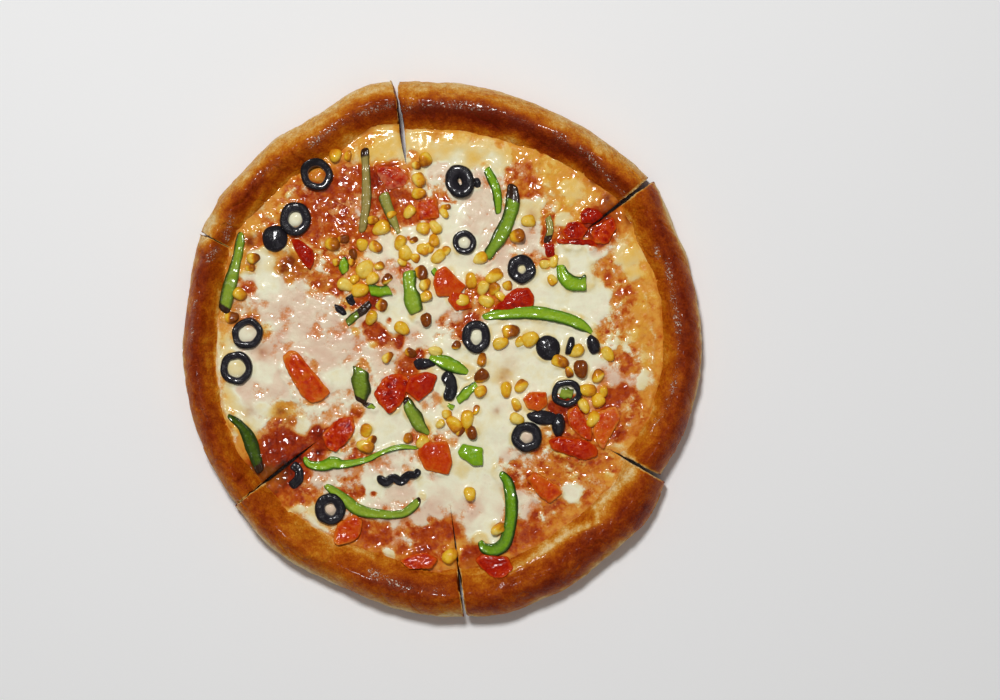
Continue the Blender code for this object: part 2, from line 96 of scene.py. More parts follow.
# %% Curve and table helpers
def ease(t):
    t = np.clip(t, 0.0, 1.0)
    return t * t * (3 - 2 * t)


def smooth_values(values, share):
    """Values at shares (0 to 1) of a smooth curve through evenly spaced numbers."""
    values = np.asarray(values, float)
    place = np.clip(share, 0.0, 1.0) * (len(values) - 1)
    low = np.minimum(place.astype(int), len(values) - 2)
    t = place - low
    ends = np.concatenate([[2 * values[0] - values[1]], values, [2 * values[-1] - values[-2]]])
    p0, p1, p2, p3 = (ends[low + k] for k in range(4))
    bend = (2 * p0 - 5 * p1 + 4 * p2 - p3) * t * t
    twist = (-p0 + 3 * p1 - 3 * p2 + p3) * t * t * t
    return p1 + 0.5 * ((p2 - p0) * t + bend + twist)


def table_value(table, distance):
    return np.interp(distance, [row[0] for row in table], [row[1] for row in table])


def slice_angles(key):
    first, last = CUTS[SLICES[key][0]][0], CUTS[SLICES[key][1]][0]
    return first, last + 360 if last < first else last


def rim_at(key, share):
    return smooth_values(SLICES[key][2], share), smooth_values(SLICES[key][3], share)


def around(x, y):
    """Distance from the cuts' crossing, and the rim's radius and width in that direction."""
    dx, dy = x - CUT_CENTRE[0], y - CUT_CENTRE[1]
    angle = np.degrees(np.arctan2(dy, dx))
    outer, width = np.full(x.shape, 140.0), np.full(x.shape, 24.0)
    for key in SLICES:
        first, last = slice_angles(key)
        past = (angle - first) % 360
        here = past <= last - first
        outer[here], width[here] = rim_at(key, past[here] / (last - first))
    return np.hypot(dx, dy), outer, width


print("rim at the middle of the left slice:", rim_at("left", np.array([0.5])))

# %% [markdown]
# ## Where the cheese lies
# The cheese is a wavy layer that climbs a little at the rim, and everything on the pizza
# rests on it. One function gives the height of the plain layer anywhere. Later, thick and
# thin cheese are added to it, and cheese, corn and olives all agree about the result.


# %% Height of the plain layer of cheese
def waves(x, y):
    """Long shallow waves, about half a millimetre up and down."""
    return 0.35 * (np.sin(x / 11 + 0.8) * np.cos(y / 10) + 0.6 * np.sin((x + y) / 15))


def bed_height(x, y):
    reach, outer, width = around(x, y)
    edge = outer - width + BED_EDGE
    near = np.clip((reach - edge + BED_EDGE_SPAN) / BED_EDGE_SPAN, 0, 1)
    flat = BED_FLAT + waves(x, y)
    return flat + (BED_EDGE_TOP - flat) * near * near


print("cheese at the middle:", bed_height(np.array([0.0]), np.array([0.0])))

# %% [markdown]
# ## Uneven like food
# Nothing baked is even. Smooth random hills, laid over each other at several sizes, stand
# for dough that rose unevenly, for cheese that browned in spots and for torn flesh. We make
# them from a seeded table, so that the pizza is the same each time.


# %% Random hills
def hills(x, y, size, seed):
    """Smooth random values from -1 to 1 with hills about as wide as size."""
    table = np.random.default_rng(seed).uniform(-1, 1, (128, 128))
    u, v = np.asarray(x) / size + 31.7, np.asarray(y) / size + 57.3
    iu, iv = np.floor(u).astype(int), np.floor(v).astype(int)
    fu, fv = ease(u - iu), ease(v - iv)
    iu, iv, ju, jv = iu % 128, iv % 128, (iu + 1) % 128, (iv + 1) % 128
    low = table[iu, iv] * (1 - fu) + table[ju, iv] * fu
    high = table[iu, jv] * (1 - fu) + table[ju, jv] * fu
    return low * (1 - fv) + high * fv


def rough(x, y, size, seed, layers=3):
    """Hills with smaller hills on them, at a slant so that no rows show.

    Each use in the script has a seed of its own, so no two patterns are alike.
    """
    total, weight = 0.0, 0.0
    for k in range(layers):
        turn = 0.7 + 1.1 * k
        u = x * math.cos(turn) - y * math.sin(turn)
        v = x * math.sin(turn) + y * math.cos(turn)
        total = total + hills(u, v, size / 2**k, seed + k) * 0.55**k
        weight += 0.55**k
    return total / weight


# First seed of each kind of piece, so that no two pieces share their hills.
SEEDS = {"crust": 100, "baking": 300, "olive": 500, "pepper": 600, "bent_olive": 640,
         "small_pepper": 660, "pepper_block": 675, "olive_bit": 680, "tomato": 700,
         "small_tomato": 740, "yellow_corn": 801, "browned_corn": 802}
print("sample of the hills:", rough(np.array([0.0, 5.0]), np.array([0.0, 5.0]), 8.0, 1))

# %% [markdown]
# ## Working on a mesh
# In Blender a piece starts as a primitive. For sheets and rolls we start from a flat grid,
# whose two directions we bend into the piece's own directions, and weld where edges meet.
# A few helpers do the repeated work: select and name a piece, start a grid, move its
# points, weld, paint a value on each point, and push points along their normals as a thumb
# or a bubble would.


# %% Helpers for meshes
def deselect():
    if bpy.context.mode != "OBJECT":
        bpy.ops.object.mode_set(mode="OBJECT")
    bpy.ops.object.select_all(action="DESELECT")


def choose(piece):
    """Makes this the only selected piece, and the active one."""
    deselect()
    bpy.context.view_layer.objects.active = piece
    piece.select_set(True)


def named(name):
    """The piece that was just added, under its name."""
    piece = bpy.context.object
    piece.name = piece.data.name = name
    return piece


def start_grid(name, columns, rows):
    """A flat grid, and how far each point lies along and across it, from 0 to 1."""
    deselect()
    bpy.ops.mesh.primitive_grid_add(x_subdivisions=columns, y_subdivisions=rows, size=1.0,
                                    calc_uvs=False)
    piece = named(name)
    points = points_of(piece) / 1000
    return piece, points[:, 0] + 0.5, points[:, 1] + 0.5


def points_of(piece):
    """The mesh's points in millimetres."""
    flat = np.empty(len(piece.data.vertices) * 3)
    piece.data.vertices.foreach_get("co", flat)
    return flat.reshape(-1, 3) / MM


def normals_of(piece):
    flat = np.empty(len(piece.data.vertices) * 3)
    piece.data.vertices.foreach_get("normal", flat)
    return flat.reshape(-1, 3)


def move_points(piece, x, y, z):
    piece.data.vertices.foreach_set("co", np.stack([x, y, z], 1).ravel() * MM)
    piece.data.update()


def edit(piece):
    choose(piece)
    bpy.ops.object.mode_set(mode="EDIT")
    bpy.ops.mesh.select_all(action="SELECT")


def weld(piece, distance=0.02):
    """Joins points that lie together and turns every face outwards."""
    edit(piece)
    bpy.ops.mesh.remove_doubles(threshold=distance * MM)
    bpy.ops.mesh.select_all(action="SELECT")
    bpy.ops.mesh.normals_make_consistent(inside=False)
    bpy.ops.object.mode_set(mode="OBJECT")


def paint(piece, name, values):
    """Keeps a value from 0 to 1 on every point, for the material to read."""
    layer = piece.data.attributes.new(name, "FLOAT", "POINT")
    layer.data.foreach_set("value", np.clip(values, 0, 1).astype(np.float32))


def unfolded(p):
    """The plan moved on by the height, so that hills also change down a wall."""
    return p[:, 0] + 0.7 * p[:, 2], p[:, 1] - 0.6 * p[:, 2]


def push(piece, steps, seed):
    """Moves points along their normals by hills: steps are (size, depth) pairs."""
    p, n = points_of(piece), normals_of(piece)
    u, v = unfolded(p)
    for k, (size, depth) in enumerate(steps):
        p = p + n * (depth * rough(u, v, size, seed + 7 * k, 2))[:, None]
    move_points(piece, *p.T)


def finish_piece(piece, material, angle):
    """Smooth shading, material, and what the piece rides on."""
    choose(piece)
    bpy.ops.object.shade_smooth_by_angle(angle=math.radians(angle))
    for modifier in list(piece.modifiers):
        bpy.ops.object.modifier_apply(modifier=modifier.name)
    piece.data.materials.clear()
    piece.data.materials.append(material)
    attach(piece, "root")


print("mesh helpers ready")

# %% [markdown]
# ## Building materials in nodes
# Every finish here is a Principled shader whose colour changes over the surface. The
# helpers place a node and plug it in, mix two colours, run a value through a colour ramp,
# and at the end plug colour, roughness and a fine bump into the shader. Most of this food
# is wet, with a thin clear film over it, so one helper starts all such finishes.


# %% Helpers for materials
def put(tree, kind, inputs=None, **settings):
    """Adds a shader node; a socket among the inputs is linked, and a value is set."""
    made = tree.nodes.new("ShaderNode" + kind)
    for key, value in settings.items():
        setattr(made, key, value)
    for key, value in (inputs or {}).items():
        if isinstance(value, bpy.types.NodeSocket):
            tree.links.new(value, made.inputs[key])
        else:
            made.inputs[key].default_value = value
    return made


def mixed(tree, share, first, second):
    """Mixes two colours, each a socket or three numbers."""
    first, second = ((*colour, 1.0) if isinstance(colour, tuple) else colour
                     for colour in (first, second))
    return put(tree, "Mix", {0: share, 6: first, 7: second}, data_type="RGBA").outputs[2]


def calc(tree, operation, first, second=0.0, third=0.0, clamp=False):
    inputs = {0: first, 1: second, 2: third}
    return put(tree, "Math", inputs, operation=operation, use_clamp=clamp).outputs[0]


def ramp(tree, value, stops):
    """A colour ramp from (place, colour) pairs."""
    made = put(tree, "ValToRGB", {0: value})
    band = made.color_ramp
    while len(band.elements) < len(stops):
        band.elements.new(0.5)
    for element, (place, colour) in zip(band.elements, stops):
        element.position, element.color = place, (*colour, 1.0)
    return made.outputs[0]


def painted(tree, name):
    return put(tree, "Attribute", attribute_name=name).outputs["Fac"]


def new_material(name, **values):
    """A material with a Principled shader and these values on its own sockets."""
    material = bpy.data.materials.new(name)
    material.use_nodes = True
    shader = material.node_tree.nodes["Principled BSDF"]
    for key, value in values.items():
        shader.inputs[key.replace("_", " ")].default_value = value
    return material, material.node_tree, shader


def wet_material(name, shine, film):
    """Wet food: how much it shines by itself, and how much film lies over it."""
    return new_material(name, Specular_IOR_Level=shine, IOR=1.25, Coat_Weight=film,
                        Coat_Roughness=0.09)


def plug(tree, shader, colour, roughness, height, strength, distance=0.0002):
    """Links the shader's colour, its roughness, and a bump that is distance metres deep."""
    tree.links.new(colour, shader.inputs["Base Color"])
    tree.links.new(roughness, shader.inputs["Roughness"])
    bump = put(tree, "Bump", {"Height": height, "Strength": strength, "Distance": distance})
    tree.links.new(bump.outputs[0], shader.inputs["Normal"])


print("material helpers ready")

# %% [markdown]
# ## Three effects that the finishes share
# Unevenness: a cloudy value around zero that shifts colour and roughness. Flecks: small
# round spots that are on in some places and off in others. Glints: small ragged spots for
# painted highlights, where lamp light sparkles on oil. Each is a node group with its size as
# an input, so all finishes reuse it.


# %% Node groups for unevenness, flecks and glints
def new_group(name, inputs, unit=1000.0):
    """A group, its inputs, and the place and scale at which its pattern is read."""
    group = bpy.data.node_groups.new(name, "ShaderNodeTree")
    for title, value in inputs:
        socket = group.interface.new_socket(title, in_out="INPUT", socket_type="NodeSocketFloat")
        socket.default_value = value
    group.interface.new_socket("Value", in_out="OUTPUT", socket_type="NodeSocketFloat")
    given = group.nodes.new("NodeGroupInput").outputs
    scale = calc(group, "DIVIDE", unit, given["Size"])
    return group, given, {"Vector": put(group, "TexCoord").outputs["Object"], "Scale": scale}


def send(group, value):
    """Makes a value what the group gives out."""
    group.links.new(value, group.nodes.new("NodeGroupOutput").inputs[0])
    return group


def make_uneven():
    """Cloudy value from -Depth to Depth, with clouds Size millimetres wide."""
    group, given, place = new_group("uneven", (("Size", 2.0), ("Depth", 1.0)))
    cloud = put(group, "TexNoise", {**place, "Detail": 3.0, "Roughness": 0.6}).outputs["Fac"]
    centred = calc(group, "MULTIPLY", calc(group, "SUBTRACT", cloud, 0.5), 3.0)
    return send(group, calc(group, "MULTIPLY", centred, given["Depth"]))


def make_flecks():
    """1 in small round spots, Size millimetres apart, of which only a Share is on."""
    group, given, place = new_group("flecks", (("Size", 1.0), ("Share", 0.3)))
    cells = put(group, "TexVoronoi", {**place, "Randomness": 1.0}).outputs
    apart = put(group, "SeparateColor", {0: cells["Color"]}).outputs[0]
    chosen = calc(group, "LESS_THAN", apart, given["Share"])
    spot = put(group, "MapRange", {0: cells["Distance"], 1: 0.34, 2: 0.14}).outputs[0]
    return send(group, calc(group, "MULTIPLY", spot, chosen))


def make_glints():
    """1 in small ragged spots about Size millimetres wide; a higher Share makes more."""
    group, given, place = new_group("glints", (("Size", 1.0), ("Share", 0.3)), 700.0)
    cloud = put(group, "TexNoise", {**place, "Detail": 4.0, "Roughness": 0.75}).outputs["Fac"]
    low = calc(group, "MULTIPLY_ADD", given["Share"], -0.16, 0.70)
    return send(group, calc(group, "MULTIPLY", calc(group, "SUBTRACT", cloud, low), 30.0,
                            clamp=True))


UNEVEN, FLECKS, GLINTS = make_uneven(), make_flecks(), make_glints()


def grouped(tree, group, first, second):
    return put(tree, "Group", {0: first, 1: second}, node_tree=group).outputs[0]


def uneven(tree, size, depth, middle=None):
    """A cloudy value around the middle: a number, another value, or else zero."""
    cloud = grouped(tree, UNEVEN, size, depth)
    return cloud if middle is None else calc(tree, "ADD", middle, cloud)


print("groups:", UNEVEN.name, FLECKS.name, GLINTS.name)

# %% [markdown]
# ## The crust's finish
# A pan crust goes from pale cream where it was folded or torn, through gold, to a deep red
# brown on the crest, and oil leaves it shiny there. We paint two values on the points, how
# far it is baked and where oil lies; a colour ramp turns baking into colour, and over the oil
# the colour gets a painted sheen and painted glints.


# %% Crust material
def crust_material():
    material, tree, shader = new_material("baked_crust", Specular_IOR_Level=0.2, IOR=1.25,
                                          Coat_Roughness=0.12)
    baked = uneven(tree, 1.0, 0.15, uneven(tree, 3.2, 0.16, painted(tree, "baked")))
    colour = ramp(tree, baked, (
        (0.0, (0.88, 0.64, 0.30)), (0.14, (0.76, 0.40, 0.08)), (0.30, (0.62, 0.20, 0.008)),
        (0.48, (0.46, 0.092, 0.002)), (0.68, (0.29, 0.035, 0.001)),
        (0.9, (0.15, 0.010, 0.0005))))
    oil_and_glints = painted(tree, "oil_and_glints")
    # Over the oil the colour gets painted highlights: small light glints and a pinkish painted
    # sheen.
    glints = calc(tree, "MULTIPLY", grouped(tree, GLINTS, 0.8, oil_and_glints),
                  put(tree, "MapRange", {0: oil_and_glints, 1: 0.3, 2: 0.7}).outputs[0])
    painted_sheen = calc(tree, "MULTIPLY", uneven(tree, 1.3, 0.6, 0.3), oil_and_glints, clamp=True)
    colour = mixed(tree, calc(tree, "MULTIPLY", painted_sheen, 0.5), colour, (0.50, 0.14, 0.04))
    colour = mixed(tree, calc(tree, "MULTIPLY", glints, 0.95), colour, (1.0, 0.80, 0.64))
    coat = calc(tree, "MULTIPLY_ADD", oil_and_glints, 0.62, 0.02, clamp=True)
    tree.links.new(coat, shader.inputs["Coat Weight"])
    dry = calc(tree, "MULTIPLY_ADD", oil_and_glints, -0.18, 0.40)
    pores = uneven(tree, 2.4, 0.5, uneven(tree, 0.9, 0.6, glints))
    plug(tree, shader, colour, uneven(tree, 1.5, 0.05, dry), pores, 0.8, 0.0005)
    return material


CRUST = crust_material()
print("material:", CRUST.name)

# %% [markdown]
# ## The six pieces of crust
# Cut a slice across and you see its outline: flat dough, a slope up to the crest, a round
# outer wall and a flat base. We could lathe that outline, but every slice has its own
# radii, so we bend a grid: one direction runs from the slice's point out to the rim, and
# the other goes once round the section, over the top, down one cut face, back along the
# base and up the other cut face.

# %% Outline of the crust, from its flat top out to the widest place
# Share of the rim's width inwards from the outline, millimetres inwards, height.
TOP_OUTLINE = ((1.0, 8.0, 13.0), (1.0, 6.0, 13.0), (1.0, 1.5, 14.6), (0.95, -0.6, 18.2),
               (0.72, 0.0, 22.4), (0.47, 0.0, 26.0), (0.24, 0.0, 23.1), (0.07, 0.0, 16.1),
               (0.0, 0.0, 8.0))
BASE_OUTLINE = ((0.0, 17.5, 0.0), (0.0, 12.0, 0.0), (0.0, 7.5, 0.0), (0.0, 3.5, 0.0),
                (0.0, 0.9, 2.4), (0.0, 0.0, 8.0))
HIDDEN_ROWS, RIM_ROWS, ARC_COLUMNS, SIDE_ROWS = 8, 88, 290, 10


def even_outline(outline, rows):
    """Rows spaced evenly along an outline: columns are share, inset, height."""
    fine = np.linspace(0, 1, 400)
    share, inset, high = (smooth_values([row[k] for row in outline], fine) for k in range(3))
    run = np.hypot(np.diff(share * 24 + inset), np.diff(high))
    run = np.concatenate([[0], np.cumsum(run)]) / run.sum()
    at = np.linspace(0, 1, rows + 1)
    share, inset, high = (np.interp(at, run, values) for values in (share, inset, high))
    return share, inset, np.maximum(high, 0.0)


def slice_spot(key, share, distance, slack=0.0):
    """Plan position in a slice, set back from both cuts by half of each gap."""
    first, last = slice_angles(key)
    angle = np.radians(first + (last - first) * share)
    x = CUT_CENTRE[0] + distance * np.cos(angle)
    y = CUT_CENTRE[1] + distance * np.sin(angle)
    for cut, side, weight in ((SLICES[key][0], 1, (1 - share) ** 2),
                              (SLICES[key][1], -1, share**2)):
        turn = math.radians(CUTS[cut][0])
        gap = np.maximum(table_value(CUTS[cut][1], distance) - slack, 0.0)
        x = x - side * weight * gap / 2 * math.sin(turn)
        y = y + side * weight * gap / 2 * math.cos(turn)
    return x, y


def ring_share(step, columns, sides):
    """Round the section: share of the slice's angle, and 0 on top to 1 at the base."""
    knots = np.cumsum([0, columns, sides, columns, sides])
    share = np.interp(step, knots, (0.0, 1.0, 1.0, 0.0, 0.0))
    level = np.interp(step, knots, (0.0, 0.0, 1.0, 1.0, 0.0))
    return share, level


def chain(outline, rows, key, share, flat_high):
    """Distance and height for each row: hidden flat rows first, then the outline."""
    outer, width = rim_at(key, share)
    part, inset, high = even_outline(outline, RIM_ROWS)
    rim = rows - HIDDEN_ROWS
    at = np.clip(rim, 0, RIM_ROWS)
    distance = outer - width * part[at] - inset[at]
    start = outer - width * part[0] - inset[0]
    hidden = rim < 0
    distance = np.where(hidden, start * rows / HIDDEN_ROWS, distance)
    return distance, np.where(hidden, flat_high, high[at])


def crust_shape(key):
    around_steps = 2 * (ARC_COLUMNS + SIDE_ROWS)
    piece, u, v = start_grid("crust_" + key, around_steps, HIDDEN_ROWS + RIM_ROWS)
    share, level = ring_share(np.rint(u * around_steps), ARC_COLUMNS, SIDE_ROWS)
    rows = np.rint(v * (HIDDEN_ROWS + RIM_ROWS)).astype(int)
    top_distance, top_high = chain(TOP_OUTLINE, rows, key, share, DOUGH_TOP)
    low_distance, low_high = chain(BASE_OUTLINE, rows, key, share, 0.0)
    top = slice_spot(key, share, top_distance)
    low = slice_spot(key, share, low_distance)
    x = top[0] + (low[0] - top[0]) * level
    y = top[1] + (low[1] - top[1]) * level
    z = top_high + (low_high - top_high) * level
    move_points(piece, x, y, z)
    weld(piece, 0.04)
    return piece


crusts = {key: crust_shape(key) for key in SLICES}
print("crust points:", sum(len(piece.data.vertices) for piece in crusts.values()))

# %% [markdown]
# ## Lumps, folds and bubbles in the crust
# Dough rises unevenly, tears where it was pinched and blisters where steam was caught. We
# push the points along their normals with hills of three sizes, round off the edges at the
# cuts, and add the larger bubbles and folds one by one, each at its own place.

# %% Shape the dough
# Bubbles and dents: x, y, radius, height.
BUBBLES = (
    (-77.6, -97, 8, 1.4), (-9, 121, 1.6, 0.8), (-4.5, 121.6, 1.8, 0.8), (108.4, -41.9, 3, 0.7),
    (-122, 66, 5, -1.2), (-130, 46, 3, -1), (-94.5, 92, 3.5, -0.9), (-118.5, 47, 4, -0.8),
    (-14, 134, 7, 0.8), (54, -103, 5, 0.9), (79, -87, 5, 1), (98, -66, 5, 0.9), (30, -122, 5, 0.9),
    (100, -96, 10, 0.7), (-40, -124, 9, 0.8), (131, 20, 9, 0.6), (63, 117, 9, 0.5),
    (-104, -66, 6, 0.7), (-92, -84, 5, -0.7), (120, 75, 7, -0.8), (-120, -22, 8, 0.6),
)
# Creases across the rim: x, y, direction in degrees, length, depth.
CREASES = (
    (-93, 92, 120, 9, 1), (-122, 46.5, 170, 8, 0.9), (-108, 76, 40, 10, 0.7),
    (70, -118, 60, 9, 0.6), (-60, -112, 50, 9, 0.6), (118, -50, 150, 7, 0.6),
    (10, 131, 95, 8, 0.5), (112, 88, 40, 8, 0.6), (-127, 2, 5, 7, 0.5),
)


def bump_at(x, y, rows):
    total = np.zeros(x.shape)
    for bx, by, radius, height in rows:
        total += height * np.exp(-((x - bx) ** 2 + (y - by) ** 2) / radius**2)
    return total


def crease_at(x, y, rows):
    """Narrow valleys: deep along a short line and soft at its ends."""
    total = np.zeros(x.shape)
    for cx, cy, turn, length, depth in rows:
        c, s = math.cos(math.radians(turn)), math.sin(math.radians(turn))
        along, aside = (x - cx) * c + (y - cy) * s, (y - cy) * c - (x - cx) * s
        aside = aside + 0.6 * np.sin(along / 2.2)
        total -= depth * np.exp(-(along / length) ** 2 - (aside / 0.8) ** 2)
    return total


# Wavy ridges where cheese ran up against the rim: x, y to x, y, half width, strength.
RIDGE = (
    (100.4, -64.7, 88.8, -76.9, 1.8, 0.9), (88.8, -76.9, 81.9, -83.7, 2, 1),
    (81.9, -83.7, 82.9, -91.3, 1.8, 0.8), (82.9, -91.3, 66.5, -97.5, 2, 1),
    (66.5, -97.5, 57, -104.9, 2.2, 1), (57, -104.9, 45.3, -111.9, 1.8, 0.9),
    (45.3, -111.9, 35.8, -117.3, 1.8, 0.8), (35.8, -117.3, 27.8, -119.4, 1.6, 0.6),
    (97, -56, 100.5, -58.5, 2.4, 0.9), (-75, -85, -67, -93, 2.4, 0.6),
    (-67, -93, -52, -102, 1.8, 0.7), (-52, -102, -36, -110.5, 1.6, 0.6),
    (-117.5, 30, -119, 2, 1.6, 0.5), (-119, 2, -117.5, -24, 1.8, 0.6),
    (-117.5, -24, -109, -50, 1.6, 0.5), (-104, 66, -94, 84, 1.6, 0.4),
    (108, 30, 113, 6, 1.4, 0.35), (113, 6, 110.5, -30, 1.6, 0.5),
)
# Strings of oil, where the crust also gets painted glints: x, y to x, y, half width, strength.
OIL_GLINTS = (
    (-40, 125.1, -25.7, 129.8, 2.2, 1), (-68.6, 108.1, -57.5, 117.1, 2.8, 1),
    (-52.2, 119.2, -42.1, 124.6, 2.4, 0.7), (-114.2, 58.8, -111, 69.4, 2.2, 1),
    (-123.8, 46.1, -118.5, 53, 2.4, 0.8), (-19.9, 127.7, -0.8, 129.8, 3.4, 0.75),
    (-0.8, 129.8, 20.4, 127.7, 3.2, 0.7), (20.4, 127.7, 37.4, 124.6, 3, 0.6),
    (41.6, 121.4, 60.7, 115, 2.6, 0.45), (60.7, 114.5, 78.7, 101.2, 3, 0.75),
    (78.7, 101.2, 87.2, 91.7, 2.4, 0.75), (87.2, 91.7, 97.8, 80, 2.2, 0.7),
    (113.2, 54.1, 114.7, 49.3, 1.8, 1), (119, 46.1, 122.2, 31.3, 2.2, 0.9),
    (122.2, 31.3, 125.3, 10.1, 2.4, 0.8), (125.3, 7.4, 124.3, -14.3, 2, 0.5),
    (124.3, -14.3, 120, -29.2, 2.4, 0.8), (120, -29.2, 111.6, -41.9, 2.4, 0.7),
    (-36.8, -118.2, -19.9, -125.6, 3, 0.9), (-19.9, -125.6, 0.3, -127.7, 2.6, 0.6),
    (-102.6, -90.6, -95.1, -98.1, 2, 0.4), (41.6, -115, 56.4, -107.6, 2, 0.4),
    (75.5, -99.1, 85.1, -90.6, 2, 0.4), (-130.1, 26, -132.2, 4.8, 2.2, 0.55),
    (-128, -16.4, -125.9, -37.6, 2, 0.45), (-98.3, 89.6, -87.7, 97, 2, 0.5),
)


def strings_at(x, y, rows):
    """1 on a short line and fading away from it."""
    total = np.zeros(x.shape)
    for ax, ay, bx, by, wide, strength in rows:
        along = ((x - ax) * (bx - ax) + (y - ay) * (by - ay)) / ((bx - ax) ** 2 + (by - ay) ** 2)
        along = np.clip(along, 0, 1)
        apart = np.hypot(x - ax - along * (bx - ax), y - ay - along * (by - ay))
        total = np.maximum(total, strength * np.exp(-(apart / wide) ** 2))
    return total


def cut_distance(key, x, y):
    """Millimetres from the nearer of the slice's two cut faces."""
    found = np.full(x.shape, 1e3)
    for cut in SLICES[key][:2]:
        turn, gaps = CUTS[cut]
        turn = math.radians(turn)
        dx, dy = x - CUT_CENTRE[0], y - CUT_CENTRE[1]
        along = dx * math.cos(turn) + dy * math.sin(turn)
        aside = np.abs(dy * math.cos(turn) - dx * math.sin(turn))
        found = np.minimum(found, np.where(along > 0, aside - table_value(gaps, along) / 2, 1e3))
    return found


def shape_crust(key, piece, seed):
    p = points_of(piece)
    x, y, z = p.T
    reach, outer, width = around(x, y)
    inside = outer - reach
    upper = ease((z - 9) / 6)
    rim = ease((width + 4 - inside) / 4)
    side = cut_distance(key, x, y)
    drop = 1.3 * np.exp(-np.maximum(side, 0) / 1.1) * upper * rim
    z = z + rim * upper * (bump_at(x, y, BUBBLES) + crease_at(x, y, CREASES)) - drop
    z = z + rim * upper * (0.9 * rough(x, y, 26, seed, 2) + 1.3 * strings_at(x, y, RIDGE))
    move_points(piece, x, y, np.maximum(z, 0.0))
    n = normals_of(piece)
    p = points_of(piece)
    u, v = unfolded(p)
    depth = 1.2 * rough(u, v, 17, seed + 3, 2) + 0.40 * rough(u, v, 5.0, seed + 5, 3)
    depth -= 0.5 * ease(1 - np.abs(rough(u, v, 15, seed + 6, 2)) / 0.07)
    depth += 0.11 * rough(u, v, 1.5, seed + 9, 2) * (0.35 + strings_at(x, y, OIL_GLINTS))
    crumb = 0.5 * rough(u, v, 2.2, seed + 8, 2) * (side < 0.3) * (z > 1)
    free = ease(p[:, 2] / 2.0)
    p = p + n * ((depth + crumb) * free * np.maximum(rim, side < 0.3))[:, None]
    move_points(piece, p[:, 0], p[:, 1], np.maximum(p[:, 2], 0.0))


for number, (key, piece) in enumerate(crusts.items()):
    shape_crust(key, piece, SEEDS["crust"] + 20 * number)
print("highest point:", max(points_of(piece)[:, 2].max() for piece in crusts.values()))

# %% [markdown]
# ## How far each place is baked
# The crest stood nearest the oven's heat, so a brown band runs along it, with a paler fold
# outside and an orange slope inside. Each slice browned differently: we give it a strength
# at five steps along its arc and the place of its brown band across the rim.

# %% Paint baking, and oil with painted glints
# Slice: strength at five steps along the arc, the band's place across the rim at three, and
# how far its outer wall is baked.
BROWNING = {
    "upper_right": ((0.78, 0.84, 0.92, 0.92, 0.86), (0.60, 0.62, 0.62), 0.20),
    "upper_left": ((0.76, 0.64, 0.58, 0.68, 0.72), (0.63, 0.61, 0.56), 0.13),
    "left": ((0.72, 0.74, 0.72, 0.66, 0.62), (0.46, 0.44, 0.52), 0.42),
    "lower_left": ((0.72, 0.50, 0.50, 0.80, 0.66), (0.52, 0.44, 0.52), 0.38),
    "lower_right": ((0.66, 0.66, 0.72, 0.76, 0.66), (0.42, 0.46, 0.46), 0.58),
    "right": ((0.66, 0.76, 0.80, 0.80, 0.62), (0.40, 0.40, 0.46), 0.54),
}
# Pale places: x, y, radius, how pale.
PALE = (
    (-17, 131, 5, 0.45), (-48.5, 110.8, 5, 0.6), (36.3, 110.8, 5, 0.6), (-59, -101, 6, 0.5),
    (-123, 68, 7, 0.9), (-126, 58, 5, 0.8), (-131, 47, 3, 0.6), (-77.6, -97, 6.5, 0.35),
    (99, -66, 6, 0.75), (91, -74, 5, 0.7), (86, -86, 5, 0.6), (66, -96, 5, 0.6),
    (52, -106, 5, 0.5), (95, -55, 5, 0.7), (-28, 141, 5, 0.6), (110, -32, 4, 0.4),
)
# Places across the rim, from the foot of its wall (0) to the cheese (1), at which we say
# how far the crust is baked outside its brown band.
BAKED_PLACES = (-0.08, -0.02, 0.08, 0.24, 0.40, 0.8, 1.0, 1.15)


